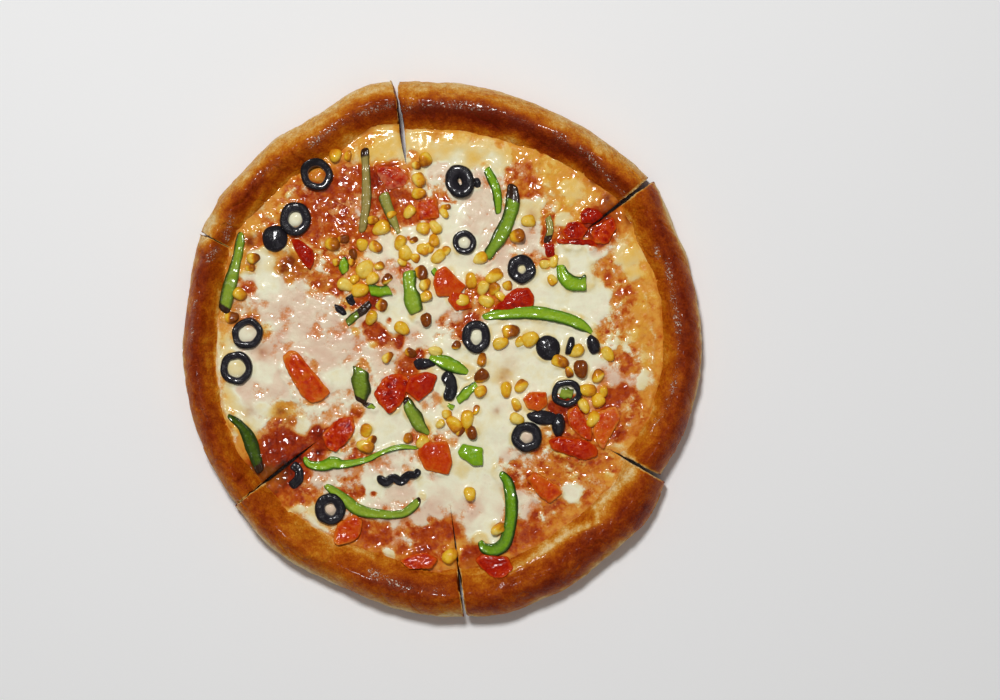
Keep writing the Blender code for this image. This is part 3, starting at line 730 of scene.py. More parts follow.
def paint_crust(key, piece, seed):
    x, y, z = points_of(piece).T
    first, last = slice_angles(key)
    reach, outer, width = around(x, y)
    angle = np.degrees(np.arctan2(y - CUT_CENTRE[1], x - CUT_CENTRE[0]))
    share = np.clip(((angle - first + 20) % 360 - 20) / (last - first), 0, 1)
    strength = smooth_values(BROWNING[key][0], share)
    peak = smooth_values(BROWNING[key][1], share)
    across = (outer - reach) / width
    across = across + 0.11 * rough(x, y, 15, seed, 3) + 0.05 * rough(x, y, 4, seed + 1, 3)
    spread = np.where(across < peak, 0.23, 0.27)
    band = np.exp(-((across - peak) / spread) ** 2)
    wall = BROWNING[key][2] * (1 + 0.35 * rough(x, y, 11, seed + 7, 2))
    across = across - 0.06 * (BROWNING[key][2] > 0.3)
    levels = (0, wall * 0.5, wall, wall * 1.2, 0.38, 0.44, 0.27, 0.12)
    base = np.stack([level + 0 * x for level in levels])
    place = np.interp(across, BAKED_PLACES, range(8))
    low = np.minimum(place.astype(int), 6)
    part, each = place - low, np.arange(len(x))
    base = base[low, each] * (1 - part) + base[low + 1, each] * part
    baked = base + (strength - base) * band * (1 + 0.12 * rough(x, y, 6, seed + 2, 3))
    arc = np.radians(angle) * 50
    baked = baked + 0.16 * rough(arc, reach, 4, seed + 3, 3) * ease((across + 0.02) / 0.1)
    baked = baked + 0.10 * rough(x, y, 7, seed + 8, 3) * ease((across - 0.05) / 0.1)
    streaks = rough(arc * 0.3, reach, 1.6, seed + 11, 2) * ease((across - 0.72) / 0.2)
    baked = baked + 0.14 * streaks
    ridge = strings_at(x, y, RIDGE) * (1 + 0.5 * rough(x, y, 3, seed + 12, 2))
    baked = baked * (1 - 0.85 * np.clip(ridge, 0, 1))
    lower = ease((11 - z) / 8) * (across < 0.3)
    baked = baked + lower * (0.30 + 0.12 * rough(x, y, 5, seed + 4, 2) - baked)
    fried = (z < 0.6) * (0.55 + 0.2 * rough(x, y, 9, seed + 6, 3))
    baked = np.where(z < 0.6, fried, baked)
    baked = baked * (1 - np.clip(bump_at(x, y, PALE), 0, 1))
    side = cut_distance(key, x, y)
    # On the cut faces the crumb is pale at the top and painted darker further down, as shade
    # inside the gap.
    crumb = ease(1 - side / 0.5) * (z > 0.8)
    painted_gap_shade = 0.02 + 0.75 * ease((17 - z) / 7)
    paint(piece, "baked", baked * (1 - crumb) + crumb * painted_gap_shade)
    # Oil along the crest: it gets a clear coat, and the material paints glints and a sheen over
    # it.
    oil_glint_mask = strings_at(x, y, OIL_GLINTS) * (1 + 0.6 * rough(x, y, 4, seed + 9, 2))
    oil_glint_mask = oil_glint_mask + 0.30 * band * ease(rough(x, y, 8, seed + 10, 2) + 0.1)
    paint(piece, "oil_and_glints", oil_glint_mask * (z > 14))


for number, (key, piece) in enumerate(crusts.items()):
    paint_crust(key, piece, SEEDS["baking"] + 20 * number)
    finish_piece(piece, CRUST, 60)
    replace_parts(piece, "dough_" + key)
print("crusts painted:", len(crusts))

# %% [markdown]
# ## Where the cheese is thick, thin or missing
# Melted cheese isn't one colour. Thick, it is white with a green tint; thin, the sauce
# shines through and it turns pink; near the rim it went yellow; and in places it ran off
# and left red sauce. We list patches of each kind with a place and a size, and let every
# spot of the surface follow the patches that are near it.

# %% Kinds of patch and their places
# Kind: how thick the cheese is, its tint (0 pink, 0.5 white, 1 yellow), the sauce's tone
# (0 dark red, 1 orange), how mottled it is.
KINDS = {
    "white": (1.0, 0.5, 0.6, 0.12), "pink_white": (0.76, 0.23, 0.6, 0.46),
    "beige": (0.58, 0.42, 0.66, 0.35), "cream": (0.86, 0.66, 0.7, 0.25),
    "yellow": (0.82, 0.90, 0.9, 0.28), "amber": (0.42, 0.97, 0.92, 0.60),
    "flecked": (0.20, 0.34, 0.50, 0.90), "flecked_orange": (0.22, 0.60, 0.60, 0.90),
    "red": (0.0, 0.4, 0.42, 0.50), "dark": (0.0, 0.5, 0.24, 0.28),
    # painted_gap_shade: near-black, a painted shadow in the open gap of the lower-left cut.
    "painted_gap_shade": (0.0, 0.5, 0.03, 0.08),
}
# Each patch: x, y, radius.
PATCHES = {
    "white": ((-90, 36, 8), (-98, 47, 5), (-16, 56, 8), (-25, 18, 7), (-5, 25, 7), (5, 70, 7),
        (2, 52, 7), (70, 49, 9), (81, 26, 8), (59, 30, 12), (68, 23, 10), (40, 8, 7), (65, 9, 10),
        (-95, -11, 8), (-56, -15, 6), (-37, -74, 7), (-28, -47, 6), (-33, -40, 6), (-27, -36, 6),
        (-8, -73, 6), (43, -3, 10), (53, -13, 9), (31, -25, 7), (28, -49, 9), (17, -28, 5),
        (21, -65, 8), (21, -92, 5), (25, -80, 4), (70, -78, 5), (76, -14, 6), (76, -5, 6),
        (1, -14, 6), (9, -20, 6), (2, -36, 6), (15, -51, 6), (7, -70, 5), (10, 31, 5)),
    "pink_white": ((-6.1, -69.4, 4), (-48.5, -27, 3), (89.3, -16.4, 5), (99.9, -17.5, 4),
        (-52.7, 9, 5), (-16.7, 3.7, 3.5), (-75, 4.8, 5), (-95.1, -27, 6), (-82.9, -24.4, 4),
        (-0.8, 94.9, 5), (-22, -82.7, 5), (-65.5, -16.4, 4), (-75, 26, 5), (-65.5, 21.7, 4),
        (-111, 31.3, 4), (-78, 26, 13), (-77, 17, 12), (-64, 13, 10), (-95, -1, 8), (-103, -21, 6),
        (-74, -1, 12), (-59, -3, 11), (-40, -8, 7), (-96, 20, 5), (-43, 17, 5), (-24, 38, 6),
        (21, 91, 6), (17, 77, 9), (20, 66, 6), (34, 48, 6), (8, 19, 5), (-61, -67, 6),
        (-50, -65, 6), (-30, -61, 6), (-21, -78, 8), (-28, -85, 7), (44, -82, 7), (-26, -108, 4),
        (-6, -84, 6), (90, -14, 6), (-86, -14, 5), (16, -87, 5), (81, 53, 5), (48, 59, 6),
        (-50, 2, 6), (-11, -91, 5), (45, -88, 5), (36, -57, 5)),
    "beige": ((-48, -27, 6), (-59, -27, 6), (-6, -27, 5), (4.5, -48, 5), (-17, -59, 5),
        (-64, -31, 8), (-55, -34, 6), (-70, 30, 4), (-104, 22, 5)),
    "cream": ((-96, 80, 5), (26, 101, 6), (8, 102, 7), (48, 75, 6), (-117, -1, 4), (-112, -27, 6),
        (-95, -30, 5), (-103, -40, 4), (-76, -40, 5), (-69, -87, 4), (-75, -86, 3), (33, -15, 5),
        (107, -17, 4), (96, -53, 4), (12, -65, 4), (-120, 7, 4), (63, 68, 4), (-116, -14, 4)),
    "yellow": ((16, 109, 11), (1, 110, 10), (29, 108, 8), (99, 49, 6), (-27, 109, 11), (67, 85, 5),
        (103, 58, 5), (105, 42, 5), (-11, 111, 7)),
    "amber": ((-45, 9, 2), (-37, 2.5, 2), (-56, 111, 8), (-85, 100, 7), (-87, 89, 6),
        (-102, 66, 4), (-90, 73, 4), (43, 106, 7), (54, 100, 6), (58, 89, 7), (98, 60, 5),
        (107, 22, 6), (105, 10, 6), (110, -5, 5), (110, -27, 4), (86, -69, 4), (72, -92, 4),
        (4, -108, 5), (97, -68, 4), (-83, 43, 6), (-85, -33, 5), (-107, -51, 4), (63, 76, 5),
        (-109, 46, 4), (108, 34, 5), (-43, 113, 7), (-72, 105, 5)),
    "flecked": ((-27.3, 15.4, 3), (-15.6, -48.2, 3), (-16.7, -58.8, 3), (-6.1, -90.6, 4),
        (52.2, -90.6, 5), (-95.1, -1.6, 3), (4.5, 79, 3), (-22, 41.9, 4), (46.9, 46.1, 3),
        (57.5, 67.3, 3), (84, -70.5, 4), (-80.3, -37.6, 3), (-43.2, -74.7, 4), (-36.8, -76.9, 3),
        (41.6, -69.4, 4), (-29.9, -83.7, 4), (-54, 73, 6), (-78, 84, 6), (-22, 89, 5), (-7, 75, 6),
        (-102, 31, 4), (43, 95, 6), (48, 85, 6), (3, 13, 4), (-49, -70, 5), (-45, -58, 5),
        (-34, -96, 5), (-14, -99, 5), (-1, -106, 4), (44, -94, 5), (43, -66, 5), (99, -41, 5),
        (94, -45, 4), (-87, -41, 4), (-69, -57, 4), (-41, 70, 5), (37, -61, 4), (-72, -78, 4),
        (91, 61, 4)),
    "flecked_orange": ((15.1, 30.2, 4), (25.7, 26, 3), (-6.1, -48.8, 4), (-80.3, 36.6, 4),
        (-92, 10.1, 3), (-16.7, 58.8, 3), (-84, -33.4, 3), (52.2, -90.6, 4), (68.1, -90.6, 5),
        (84, -70.5, 4), (89.3, -59.9, 4), (57.5, 71, 5), (62.8, 63.1, 4), (-75, 40.8, 4),
        (-65.5, 35.5, 5), (-56.4, 37.6, 5), (-48.5, 26, 5), (-100.4, 56.2, 4), (-98.8, 46.1, 4),
        (-92, 67.3, 5), (-100.4, 15.4, 4), (79.8, -59.9, 3), (-16.7, 102.8, 3), (85, 43, 5),
        (90, 40, 6), (96, 26, 8), (95, 13, 8), (100, -7, 6), (103, -31, 6), (59, -61, 6),
        (69, -63, 6), (77, -67, 5), (79, -78, 6), (67, -87, 6), (-55, 49, 5), (-63, 51, 5),
        (91, 5, 6), (55, -56, 4)),
    "red": ((-19.3, -9, 3), (15.1, 14.3, 3), (10.9, 10.1, 2.5), (-59.1, 73.7, 5), (-48.5, 68.4, 4),
        (-24.6, 76.3, 3), (-8.7, 79, 3), (-32.6, 79, 3), (-6.1, 76.3, 3), (-65.5, -24.4, 2),
        (-22, -20.7, 3), (-46.9, -33.9, 2.6), (-52.7, -38.2, 2.4), (56.4, 59.9, 4),
        (-5, -110.8, 4), (-27.3, 88.5, 6), (-54.9, 30.2, 3), (-42.1, 26, 3), (-63.3, -32.3, 3),
        (-26.2, 95.9, 5), (-61, 77, 9), (-50, 91, 6), (-61, 66, 6), (-21, 70, 5), (-36, 8, 4),
        (-72, -63, 5), (-80, -77, 4), (-33, -99, 5), (-7, -96, 6), (-35, -106, 4), (57, -92, 5),
        (3, -98, 4), (91, -24, 5), (98, -21, 5), (-22, -109, 4)),
    # Painted shadow along the open lower-left cut, where the gap is dark.
    "painted_gap_shade": ((-90.9, -69.4, 6), (-82.9, -63.1, 4), (-97.3, -64.1, 4), (-75, -57.8, 3),
        (-90.9, -69.4, 3.5), (-82.9, -69.4, 4), (-76.6, -64.1, 2.5), (-95.1, -75.8, 3),
        (-65.5, -54.6, 2)),
    # Dark sauce; the spots beside the lower-left cut and the one under olive ring 12 are painted
    # shadow.
    "dark": ((-82.9, 46.1, 3), (-36.8, 26, 3), (77.6, 62, 4), (84, 65.7, 4), (91.4, 70.5, 4),
        (81.9, 56.2, 3), (86.1, 58.8, 3), (-37.9, -101.2, 4), (-8.7, -111.8, 4), (-59.1, 84.3, 3),
        (-101.5, 14.8, 3), (-47.4, 24.4, 3), (-65.5, -48.2, 2.6), (-59.1, -43.5, 2.4),
        (16.2, -111.8, 4), (68.1, -31.3, 4), (-81.4, -70.5, 4), (-89.8, -72.6, 3), (-75, -64.1, 3),
        (54.9, 46.1, 2.2), (60.7, -29.2, 3), (-40, 14, 2.6), (-31, 6.5, 2.8), (-21, 3.7, 2.4),
        (-14, -2.7, 2), (-32, 92, 6), (-83, -49, 7), (-87, -58, 5), (-66, -45, 4), (51, -101, 4),
        (-76, -59, 5)),
}
# Browned spots on the cheese: x, y, radius, strength.
TOAST = (
    (-80, 47, 3.5, 0.9), (-84, 42, 3, 0.6), (-91, -69, 6, 0.7), (-101.5, 57.8, 4, 0.7),
    (-101.5, 46, 4, 0.6), (-101, 15, 4, 0.9), (-95, -1.5, 3, 0.6), (-80, -38, 3.5, 0.6),
    (89, 79, 4.5, 1), (81, 90, 4, 0.9), (100, 69, 4.5, 0.9), (93, 72, 3, 0.6), (70, 100, 3.5, 0.7),
    (-101, 57, 3, 0.5), (-113, 45, 3, 0.6), (-75, 40, 3.5, 0.5), (-48, 27, 3, 0.6),
    (-62, 35, 3, 0.5), (-118, 20, 2.5, 0.5), (111, 55, 4, 0.6), (-97, 76, 3, 0.6),
    (-80, 96, 3, 0.5), (-108, 60, 2.5, 0.6), (15, -114, 3, 0.7), (29, -33, 2.4, 0.5),
    (33, -15, 4, 0.5), (-102, -33, 3.5, 0.6), (-85, -33, 4, 0.8), (-83, 43, 6, 0.5),
    (-112, 26, 3, 0.5), (36, -8, 5, 0.3), (-108, 22, 3, 0.5), (-31, -3, 3, 0.5), (66, 38, 3, 0.2),
    (-89, 52, 3, 0.4), (-66, 99, 3, 0.4), (-97, 62, 3, 0.4), (48, 72, 3, 0.4), (32, -73, 4, 0.3),
)
# Olive rings whose hole is filled: x, y, radius of the hole, kind of patch.
HOLES = (
    (-66.1, 92.4, 4.9, "amber"), (-77.5, 68.9, 4.2, "white"), (-102.9, 8.3, 5.2, "white"),
    (-108.7, -10.1, 5.5, "cream"), (12.1, 56.5, 3.2, "white"), (42.5, 42.4, 2.6, "cream"),
    (18.4, 6.5, 3.9, "white"), (45.2, -46.6, 3.4, "pink_white"), (-59.1, -84.8, 3.1, "pink_white"),
)


def cheese_fields(x, y):
    """Thickness, tint, tone, browning and mottling of the cheese at each spot."""
    wx = x + 2.2 * rough(x, y, 9, 11, 3)
    wy = y + 2.2 * rough(x, y, 9, 23, 3)
    total, sums = np.full(x.shape, 1e-9), np.zeros((4, *x.shape))
    for kind, places in PATCHES.items():
        for px, py, radius in places:
            near = 1 / (0.05 + ((wx - px) ** 2 + (wy - py) ** 2) / radius**2) ** 2.4
            total += near
            sums += np.array(KINDS[kind])[:, None] * near
    thick, tint, tone, mottle = sums / total
    for px, py, radius, kind in HOLES:
        near = ease(1.4 - np.hypot(x - px, y - py) / radius)
        thick = thick + (KINDS[kind][0] - thick) * near
        tint = tint + (KINDS[kind][1] - tint) * near
        mottle = mottle * (1 - near)
    reach, outer, width = around(x, y)
    rim = ease((reach - outer + width + 9) / 9)
    edge = ease((reach - outer + width + 1.5) / 4) * (0.7 + 0.9 * rough(x, y, 9, 97, 2))
    tint = tint + rim * (0.95 - tint) * 0.7
    thick = thick - rim * 0.28 * (1 + rough(x, y, 8, 43, 2))
    mottle = mottle + 0.2 * rim
    tone = tone + rim * (0.9 - tone) * 0.6 * ease(tone / 0.3)
    thick = thick + mottle * (0.95 * rough(x, y, 4.0, 41, 3) + 0.45 * rough(x, y, 10, 47, 2))
    tint = tint + (0.10 + 0.25 * mottle) * rough(x, y, 6, 53, 2)
    tone = tone + (0.10 + 0.35 * mottle) * rough(x, y, 3.0, 59, 3)
    ridge = np.clip(strings_at(x, y, RIDGE) * (1 + 0.5 * rough(x, y, 3, 67, 2)), 0, 1)
    thick = thick + (0.74 - thick) * ridge
    tint = tint + (0.34 - tint) * ridge * 0.8
    toast = bump_at(x, y, TOAST) * (1 + 0.5 * rough(x, y, 2.4, 61, 2))
    toast = np.maximum(toast, 0.55 * edge * (1 - ridge))
    return np.clip(thick, 0, 1), np.clip(tint, 0, 1), np.clip(tone, 0, 1), toast, mottle


def cheese_rise(x, y):
    """How far thick cheese and large waves stand above the plain layer."""
    reach, outer, width = around(x, y)
    inward = ease((outer - width - reach) / 7)
    thick = cheese_fields(x, y)[0]
    return (0.7 * ease((thick - 0.35) / 0.5) - 0.1 + 0.5 * rough(x, y, 13, 71, 2)) * inward


def surface_height(x, y):
    """The cheese, or past its edge the rim's inner slope."""
    reach, outer, width = around(x, y)
    inside = outer - reach
    slope = BED_EDGE_TOP + (CREST * 0.86 + 0.8 - BED_EDGE_TOP) * np.clip(
        (width - BED_EDGE - inside) / (0.28 * width - BED_EDGE), 0, 1)
    crest = 0.86 + 0.14 * np.clip((0.72 * width - inside) / (0.25 * width), 0, 1)
    high = np.where(inside < 0.72 * width, CREST * crest + 0.8, slope)
    flat = bed_height(x, y) + cheese_rise(x, y)
    return np.where(reach <= outer - width + BED_EDGE, flat, high)


print("patches:", {kind: len(places) for kind, places in PATCHES.items()})

# %% [markdown]
# ## Black olives
# A sliced olive is a thick ring: glossy black skin outside, a flat cut face of dark grey
# purple flesh, and a hole that fills with cheese. A torus primitive has the right topology;
# we square its section, make it a little oval and dent it. The end of an olive is a cap, a
# flattened ball with no hole.


# %% Olive material
def olive_material():
    material, tree, shader = wet_material("black_olive", 0.4, 0.5)
    flesh_and_highlight = uneven(tree, 1.0, 0.15, painted(tree, "flesh_and_highlight"))
    # Black skin, dark flesh, and at the light end the painted highlight of the hole's edge.
    colour = ramp(tree, flesh_and_highlight, ((0.0, (0.010, 0.009, 0.011)), (0.5, (0.020, 0.017, 0.023)),
                                (1.0, (0.15, 0.14, 0.15))))
    # Small grey-blue specks: partly the olive's own specks, partly painted sparkle of the wet
    # surface.
    specks = calc(tree, "MULTIPLY", grouped(tree, FLECKS, 1.5, 0.35), 0.35)
    colour = mixed(tree, specks, colour, (0.09, 0.085, 0.11))
    plug(tree, shader, colour, uneven(tree, 1.6, 0.10, 0.22), uneven(tree, 1.1, 0.9), 0.6)
    return material


OLIVE = olive_material()
# How deep the toppings sank into the cheese, in millimetres.
SINK = 0.7
# Node, x, y, length, width, turn in degrees, width of the hole, height.
OLIVES = (
    ("olive_ring_1", -66.1, 92.4, 17.6, 17.2, 0, 8.4, 4.8),
    ("olive_ring_2", -77.5, 68.9, 17.5, 18, 0, 7.4, 4.8),
    ("olive_cap_3", -88.4, 58.6, 13.8, 14.3, 0, 0, 4.8),
    ("olive_ring_4", -102.9, 8.3, 16.7, 16.7, 0, 9.2, 4.2),
    ("olive_ring_5", -108.7, -10.1, 17, 18.4, 10, 8.8, 4.2),
    ("olive_ring_6", 9.7, 88.9, 15.9, 18.6, 10, 1.2, 4.2),
    ("olive_ring_7", 12.1, 56.5, 13, 12.7, 0, 5.8, 3.7),
    ("olive_ring_8", 42.5, 42.4, 15.6, 15.4, 0, 4, 4.2),
    ("olive_ring_9", 18.4, 6.5, 15.9, 17.5, 10, 6.2, 4.2),
    ("olive_cap_10", 56.6, 0.5, 13.2, 13.8, 20, 0, 4.8),
    ("olive_ring_12", 66.3, -23.4, 16, 15.2, 0, 8.4, 4.2),
    ("olive_ring_13", 45.2, -46.6, 16.4, 16.4, 0, 6.4, 4.2),
    ("olive_cap_14", 62, -40.3, 7.2, 12.7, 0, 0, 4.8),
    ("olive_ring_15", -59.1, -84.8, 17, 17, 0, 5.8, 4.2),
)
print("material:", OLIVE.name, "olives:", len(OLIVES))


# %% Shape the olives
def turned(u, v, turn):
    c, s = math.cos(math.radians(turn)), math.sin(math.radians(turn))
    return u * c - v * s, u * s + v * c


def squared(across, up, power):
    """Draws a circle's points out towards a square; a high power sharpens its corners."""
    reach = (np.abs(across) ** power + np.abs(up) ** power) ** (1 / power)
    return across / reach, up / reach


def olive_ring(name, x, y, length, width, turn, hole, height, seed):
    deselect()
    bpy.ops.mesh.primitive_torus_add(major_segments=56, minor_segments=20, major_radius=1.0,
                                     minor_radius=0.5)
    piece = named(name)
    p = points_of(piece) * MM
    turn_angle = np.arctan2(p[:, 1], p[:, 0])
    out, up = squared((np.hypot(p[:, 0], p[:, 1]) - 1) / 0.5, p[:, 2] / 0.5, 4.2)
    wall = (min(length, width) - hole) / 2
    wobble = 1 + 0.035 * np.sin(2 * turn_angle + seed) + 0.02 * np.sin(5 * turn_angle + 2 * seed)
    section = out * wall / 2 * (1 - 0.06 * (up > 0))
    long, wide = ((size - wall) / 2 * wobble + section for size in (length, width))
    dx, dy = turned(long * np.cos(turn_angle), wide * np.sin(turn_angle), turn)
    lift = (up * 0.5 + 0.5) * height * (1 + 0.10 * np.sin(turn_angle + seed))
    closed = hole < 2
    dish = (0.35 + 1.1 * closed) * (up > 0.5) * np.maximum(-out, 0)
    px, py = x + dx, y + dy
    move_points(piece, px, py, surface_height(px, py) - SINK + lift - dish)
    weld(piece)
    push(piece, ((6.0, 0.4), (2.0, 0.14)), seed)
    flesh_and_highlight = ease((up - 0.55) / 0.3) * ease((0.75 - out) / 0.3)
    # Light grey near the hole: a painted highlight along the inner edge, a narrow band round the
    # dimple on the closed ring.
    inner = np.exp(-((out + 0.1) / 0.2) ** 2) * 0.7 if closed else ease(-out * 1.6 - 0.5) * 0.7
    paint(piece, "flesh_and_highlight", np.maximum(flesh_and_highlight * 0.28, inner))
    return piece


def olive_cap(name, x, y, length, width, turn, hole, height, seed):
    deselect()
    bpy.ops.mesh.primitive_uv_sphere_add(segments=40, ring_count=24, radius=1.0)
    piece = named(name)
    u, v, w = (points_of(piece) * MM).T
    dx, dy = turned(u * length / 2, v * width / 2, turn)
    lift = np.where(w > 0, 0.35 * height + 0.65 * height * w, 0.35 * height * (1 + w))
    px, py = x + dx, y + dy
    move_points(piece, px, py, surface_height(px, py) - SINK + lift)
    push(piece, ((4.0, 0.4), (1.7, 0.16)), seed)
    paint(piece, "flesh_and_highlight", 0.2 + 0.2 * rough(px, py, 2.0, seed, 2))
    return piece


for number, row in enumerate(OLIVES):
    make = olive_ring if row[6] else olive_cap
    name = row[0].replace("olive_", "black_olive_")
    piece = make(name, *row[1:], SEEDS["olive"] + number)
    finish_piece(piece, OLIVE, 60)
    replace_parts(piece, row[0])
print("olives made:", len(OLIVES))

# %% [markdown]
# ## Strips of green pepper
# A strip cut from a pepper has a glossy skin on one face and pale, wet flesh on the other,
# and it curls. From above you see dark green edges and a brighter middle. We sweep a
# rounded section along a smooth line: a grid whose one direction follows the line and
# whose other goes round the section, closed at both ends by narrowing it.

# %% Pepper material
# Node, width, height, places with the share of the width there, and looks: how dull the
# green went, charred share of the start and of the end, and how much darker it is.
PEPPERS = (
    ("pepper_strip_1", 7, 3.7, ((-105.9, 62, 0.5), (-107.9, 50.4, 0.85), (-110.7, 39, 1),
     (-113.5, 28.9, 1), (-115.6, 19.1, 0.85)), (0.25, 0, 0.1, 0.12)),
    ("pepper_strip_2", 5, 3.4, ((-40.7, 107.1, 1), (-40, 90.6, 1), (-40, 76.3, 0.95),
     (-42.3, 61.5, 0.7)), (1, 0.1, 0, 0)),
    ("pepper_strip_4", 5.6, 3.4, ((23.6, 95.9, 1), (27.8, 87.5, 0.85), (29.6, 80.6, 0.8),
     (30.2, 71.5, 0.6)), (0, 0, 0, 0.1)),
    ("pepper_strip_5", 7.2, 3.9, ((37.9, 87.5, 0.7), (37.6, 77.6, 1), (35, 67.6, 1),
     (30.2, 58.6, 1.12), (23.6, 48.4, 0.9)), (0.15, 0.22, 0, 0.15)),
    ("pepper_crescent_6", 7.4, 3.9, ((63.2, 44.9, 0.45), (64.6, 39.4, 0.9), (68.8, 35.2, 1.15),
     (73.6, 34.6, 1.2), (77, 35.4, 1.1)), (0, 0, 0, 0)),
    ("pepper_arc_7", 7.8, 3.7, ((21.6, 16.4, 0.4), (31.2, 18.4, 0.8), (46, 19.4, 0.95),
     (60.2, 17.6, 1), (71.6, 14, 0.95), (76.6, 11.4, 0.55), (80.4, 8, 0.22)), (0, 0, 0, 0)),
    ("pepper_strip_10", 8.4, 4.8, ((-17.2, 41.9, 0.8), (-16.7, 33.4, 0.95), (-15.3, 26, 1.1),
     (-13, 19.1, 0.8)), (0.15, 0, 0, 0)),
    ("pepper_fold_11", 9.6, 4.2, ((-42.7, -10.1, 0.9), (-42.7, -19.1, 1.05), (-43.3, -28.6, 0.45)),
     (0.3, 0, 0.15, 0.28)),
    ("pepper_strip_12", 6.6, 3.7, ((-6.6, -4.2, 0.6), (4, -8, 1.1), (14.3, -12.7, 0.5)),
     (0, 0, 0, 0)),
    ("pepper_strip_14", 6.8, 3.7, ((-19.3, -26, 0.5), (-16.7, -31.8, 0.9), (-12.1, -38.8, 1.1),
     (-6.4, -45.3, 0.4)), (0.3, 0.14, 0, 0.15)),
    ("pepper_thin_15", 3.6, 3, ((-72.9, -57.2, 0.6), (-70, -61.2, 1), (-63, -62, 1.5),
     (-57.5, -60.4, 1.9), (-52.2, -61.2, 1.2), (-40, -58.8, 1), (-30.5, -54.3, 0.9),
     (-21.5, -51.9, 0.9), (-11.9, -52.7, 0.5)), (0, 0, 0, 0)),
    ("pepper_arc_16", 4.9, 3.3, ((-62.3, -71.5, 0.7), (-52.2, -79, 1.1), (-44.5, -85.1, 1.3),
     (-33.8, -87.5, 1.2), (-21.5, -87.4, 1.1), (-15.1, -83.6, 1), (-10.9, -79, 0.6)),
     (0.2, 0, 0.06, 0)),
    ("pepper_hook_18", 7.2, 3.6, ((30.8, -65.2, 0.55), (35.2, -71, 0.8), (37.2, -82.2, 1),
     (36.4, -93.6, 1.1), (33.6, -102.6, 1.1), (28.4, -106.6, 0.95), (22.6, -105.6, 0.75),
     (20.2, -101.4, 0.4)), (0, 0, 0, 0.25)),
    ("pepper_rim_19", 6.4, 3.4, ((-113.7, -35, 0.35), (-105.4, -41.9, 0.95), (-100.1, -52.7, 1.1),
     (-95.7, -65.7, 0.6)), (0.1, 0, 0.12, 0.7)),
)


def pepper_material():
    material, tree, shader = wet_material("green_pepper", 0.4, 0.5)
    edge = uneven(tree, 1.6, 0.16, painted(tree, "edge"))
    edge = calc(tree, "ADD", edge, painted(tree, "dark"))
    green = ramp(tree, edge, ((0.0, (0.32, 0.52, 0.012)), (0.35, (0.16, 0.36, 0.004)),
                              (0.65, (0.055, 0.15, 0.002)), (1.0, (0.015, 0.045, 0.002))))
    dull = ramp(tree, edge, ((0.0, (0.40, 0.31, 0.09)), (0.6, (0.22, 0.17, 0.03)),
                             (1.0, (0.07, 0.055, 0.008))))
    colour = mixed(tree, painted(tree, "dull"), green, dull)
    char = calc(tree, "ADD", painted(tree, "char"), uneven(tree, 1.2, 0.18), clamp=True)
    char = put(tree, "MapRange", {0: char, 1: 0.3, 2: 0.7}).outputs[0]
    colour = mixed(tree, char, colour, (0.035, 0.014, 0.006))
    plug(tree, shader, colour, uneven(tree, 2.0, 0.08, 0.22), uneven(tree, 1.2, 0.8), 0.5)
    return material


PEPPER = pepper_material()
print("material:", PEPPER.name, "strips:", len(PEPPERS))


# %% Sweep the strips
ROUND_STEPS, LONG_STEPS = 28, 64


def sweep(name, width, height, path, seed, wave=0.0, round_ends=0.07, slant=0.0):
    """A strip along a smooth line. A third number of a place on the line is a width share."""
    piece, u, v = start_grid(name, ROUND_STEPS, LONG_STEPS)
    xs, ys = [place[0] for place in path], [place[1] for place in path]
    shares = [place[2] if len(place) > 2 else 1.0 for place in path]
    cx, cy, wide = (smooth_values(values, v) for values in (xs, ys, shares))
    ax, ay = smooth_values(xs, v + 0.01), smooth_values(ys, v + 0.01)
    bx, by = smooth_values(xs, v - 0.01), smooth_values(ys, v - 0.01)
    run = np.hypot(ax - bx, ay - by)
    tx, ty = (ax - bx) / run, (ay - by) / run
    turn = u * 2 * math.pi
    side, up = squared(np.cos(turn), np.sin(turn), 3.6)
    from_end = np.minimum(v, 1 - v) / round_ends
    taper = np.sqrt(np.clip(1 - (1 - np.clip(from_end, 0, 1)) ** 3, 0, 1))
    size = 1 + 0.10 * np.sin(5.1 * v + seed) + 0.06 * np.sin(13 * v + 2 * seed)
    half = width / 2 * taper * size * np.maximum(wide, 0.05)
    shift = slant * side * half
    px = cx - ty * side * half + tx * shift
    py = cy + tx * side * half + ty * shift
    tilt = 0.16 * math.sin(3.1 * seed) * side * up
    high = (0.5 + 0.5 * up + tilt) * height * (0.35 + 0.65 * taper) * np.minimum(wide, 1) ** 0.5
    high = high - 0.14 * height * np.exp(-(side / 0.5) ** 2) * (up > 0) * taper
    high = high + wave * height * np.sin(v * 9 + seed) * 0.25
    move_points(piece, px, py, surface_height(px, py) - SINK + high)
    skin = np.where(side * math.cos(2.3 * seed) > 0, 1.0, 0.55)
    paint(piece, "edge", 0.10 + 0.8 * skin * ease((np.abs(side) - 0.35) / 0.6))
    paint(piece, "along", v)
    weld(piece, 0.03)
    push(piece, ((4.5, 0.35), (1.6, 0.16)), seed)
    return piece


def read_paint(piece, name):
    values = np.empty(len(piece.data.vertices), np.float32)
    piece.data.attributes[name].data.foreach_get("value", values)
    return values


def pepper_strip(name, width, height, path, looks, seed):
    piece = sweep(name.replace("pepper_", "green_pepper_"), width, height, path, seed,
                  slant=0.45 * math.sin(1.7 * seed))
    along = read_paint(piece, "along")
    dull, start, end, darker = looks
    paint(piece, "dull", dull + 0.12 * along)
    char = ease((start - along) / 0.08 + 0.5) * (start > 0)
    char = np.maximum(char, ease((along - 1 + end) / 0.08 + 0.5) * (end > 0))
    paint(piece, "char", char)
    paint(piece, "dark", np.full(len(along), darker))
    finish_piece(piece, PEPPER, 60)
    return piece


for number, row in enumerate(PEPPERS):
    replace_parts(pepper_strip(*row, SEEDS["pepper"] + number), row[0])
print("strips swept:", len(PEPPERS))

